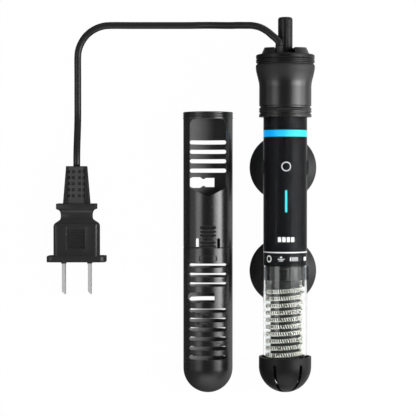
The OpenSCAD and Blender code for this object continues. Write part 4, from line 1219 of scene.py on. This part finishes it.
class HEATER_OT_guard(bpy.types.Operator):
    """Finish the guard and its latch, and make the latch's web"""

    bl_idname = "heater.guard"
    bl_label = "Guard"

    def execute(self, context):
        tone = context.scene.heater_finish.guard_tone
        # Tones of the bore: painted light at its left and painted shade at its right.
        bore = (118, 40)
        plastic = moulded("guard_plastic", tone, 0.27, edge=0.22, lift=12, gloss=1.0, bore=bore)
        latch = moulded("latch_plastic", tone, 0.3, edge=0.2, lift=9, gloss=1.0, bore=bore)
        dress(guard_upper=plastic, guard_lower=plastic, guard_latch=latch)
        finish_piece(self.hinge(), plastic, "guard_upper", "guard_black")
        return {"FINISHED"}

    @staticmethod
    def hinge():
        """The thin web that carries the latch, a curved plate across the latch's root."""
        x0, y0, z0 = GUARD_AXIS
        half, steps = math.asin(HINGE_HALF / GUARD_RADIUS), 12
        (foot, top), (inner, outer) = HINGE_HEIGHTS, HINGE_RADII
        bm = bmesh.new()
        rings = []
        for height, radius in ((foot, inner), (foot, outer), (top, outer), (top, inner)):
            ring = []
            for i in range(steps + 1):
                a = half * (2 * i / steps - 1)
                x, z = radius * math.sin(a), radius * math.cos(a)
                ring.append(bm.verts.new(Vector((x0 + x, y0 + height, z0 + z)) * MM))
            rings.append(ring)
        for low, high in zip(rings, rings[1:] + rings[:1]):
            for i in range(steps):
                bm.faces.new((low[i], low[i + 1], high[i + 1], high[i]))
        bm.faces.new([ring[0] for ring in rings])
        bm.faces.new([ring[-1] for ring in rings])
        bmesh.ops.recalc_face_normals(bm, faces=bm.faces)
        return object_from("latch_hinge", bm)


class HEATER_PT_panel(bpy.types.Panel):
    """Heater pieces and settings"""

    bl_label = "Aquarium heater"
    bl_idname = "HEATER_PT_panel"
    bl_space_type = "VIEW_3D"
    bl_region_type = "UI"
    bl_category = "Heater"

    def draw(self, context):
        for operator in OPERATORS:
            self.layout.operator(operator.bl_idname)
        for name, group in SETTINGS.items():
            box = self.layout.box()
            for key in group.__annotations__:
                box.prop(getattr(context.scene, name), key)


OPERATORS = (
    HEATER_OT_stage,
    HEATER_OT_lead,
    HEATER_OT_tube,
    HEATER_OT_element,
    HEATER_OT_inside,
    HEATER_OT_housing,
    HEATER_OT_gland,
    HEATER_OT_cups,
    HEATER_OT_guard,
)


def register():
    for group in SETTINGS.values():
        bpy.utils.register_class(group)
    for cls in (*OPERATORS, HEATER_PT_panel):
        bpy.utils.register_class(cls)
    for name, group in SETTINGS.items():
        setattr(bpy.types.Scene, name, PointerProperty(type=group))


def unregister():
    for name in SETTINGS:
        delattr(bpy.types.Scene, name)
    for cls in (HEATER_PT_panel, *OPERATORS, *SETTINGS.values()):
        bpy.utils.unregister_class(cls)


def main():
    register()
    for operator in OPERATORS:
        category, name = operator.bl_idname.split(".")
        getattr(getattr(bpy.ops, category), name)()


if __name__ == "__main__":
    main()
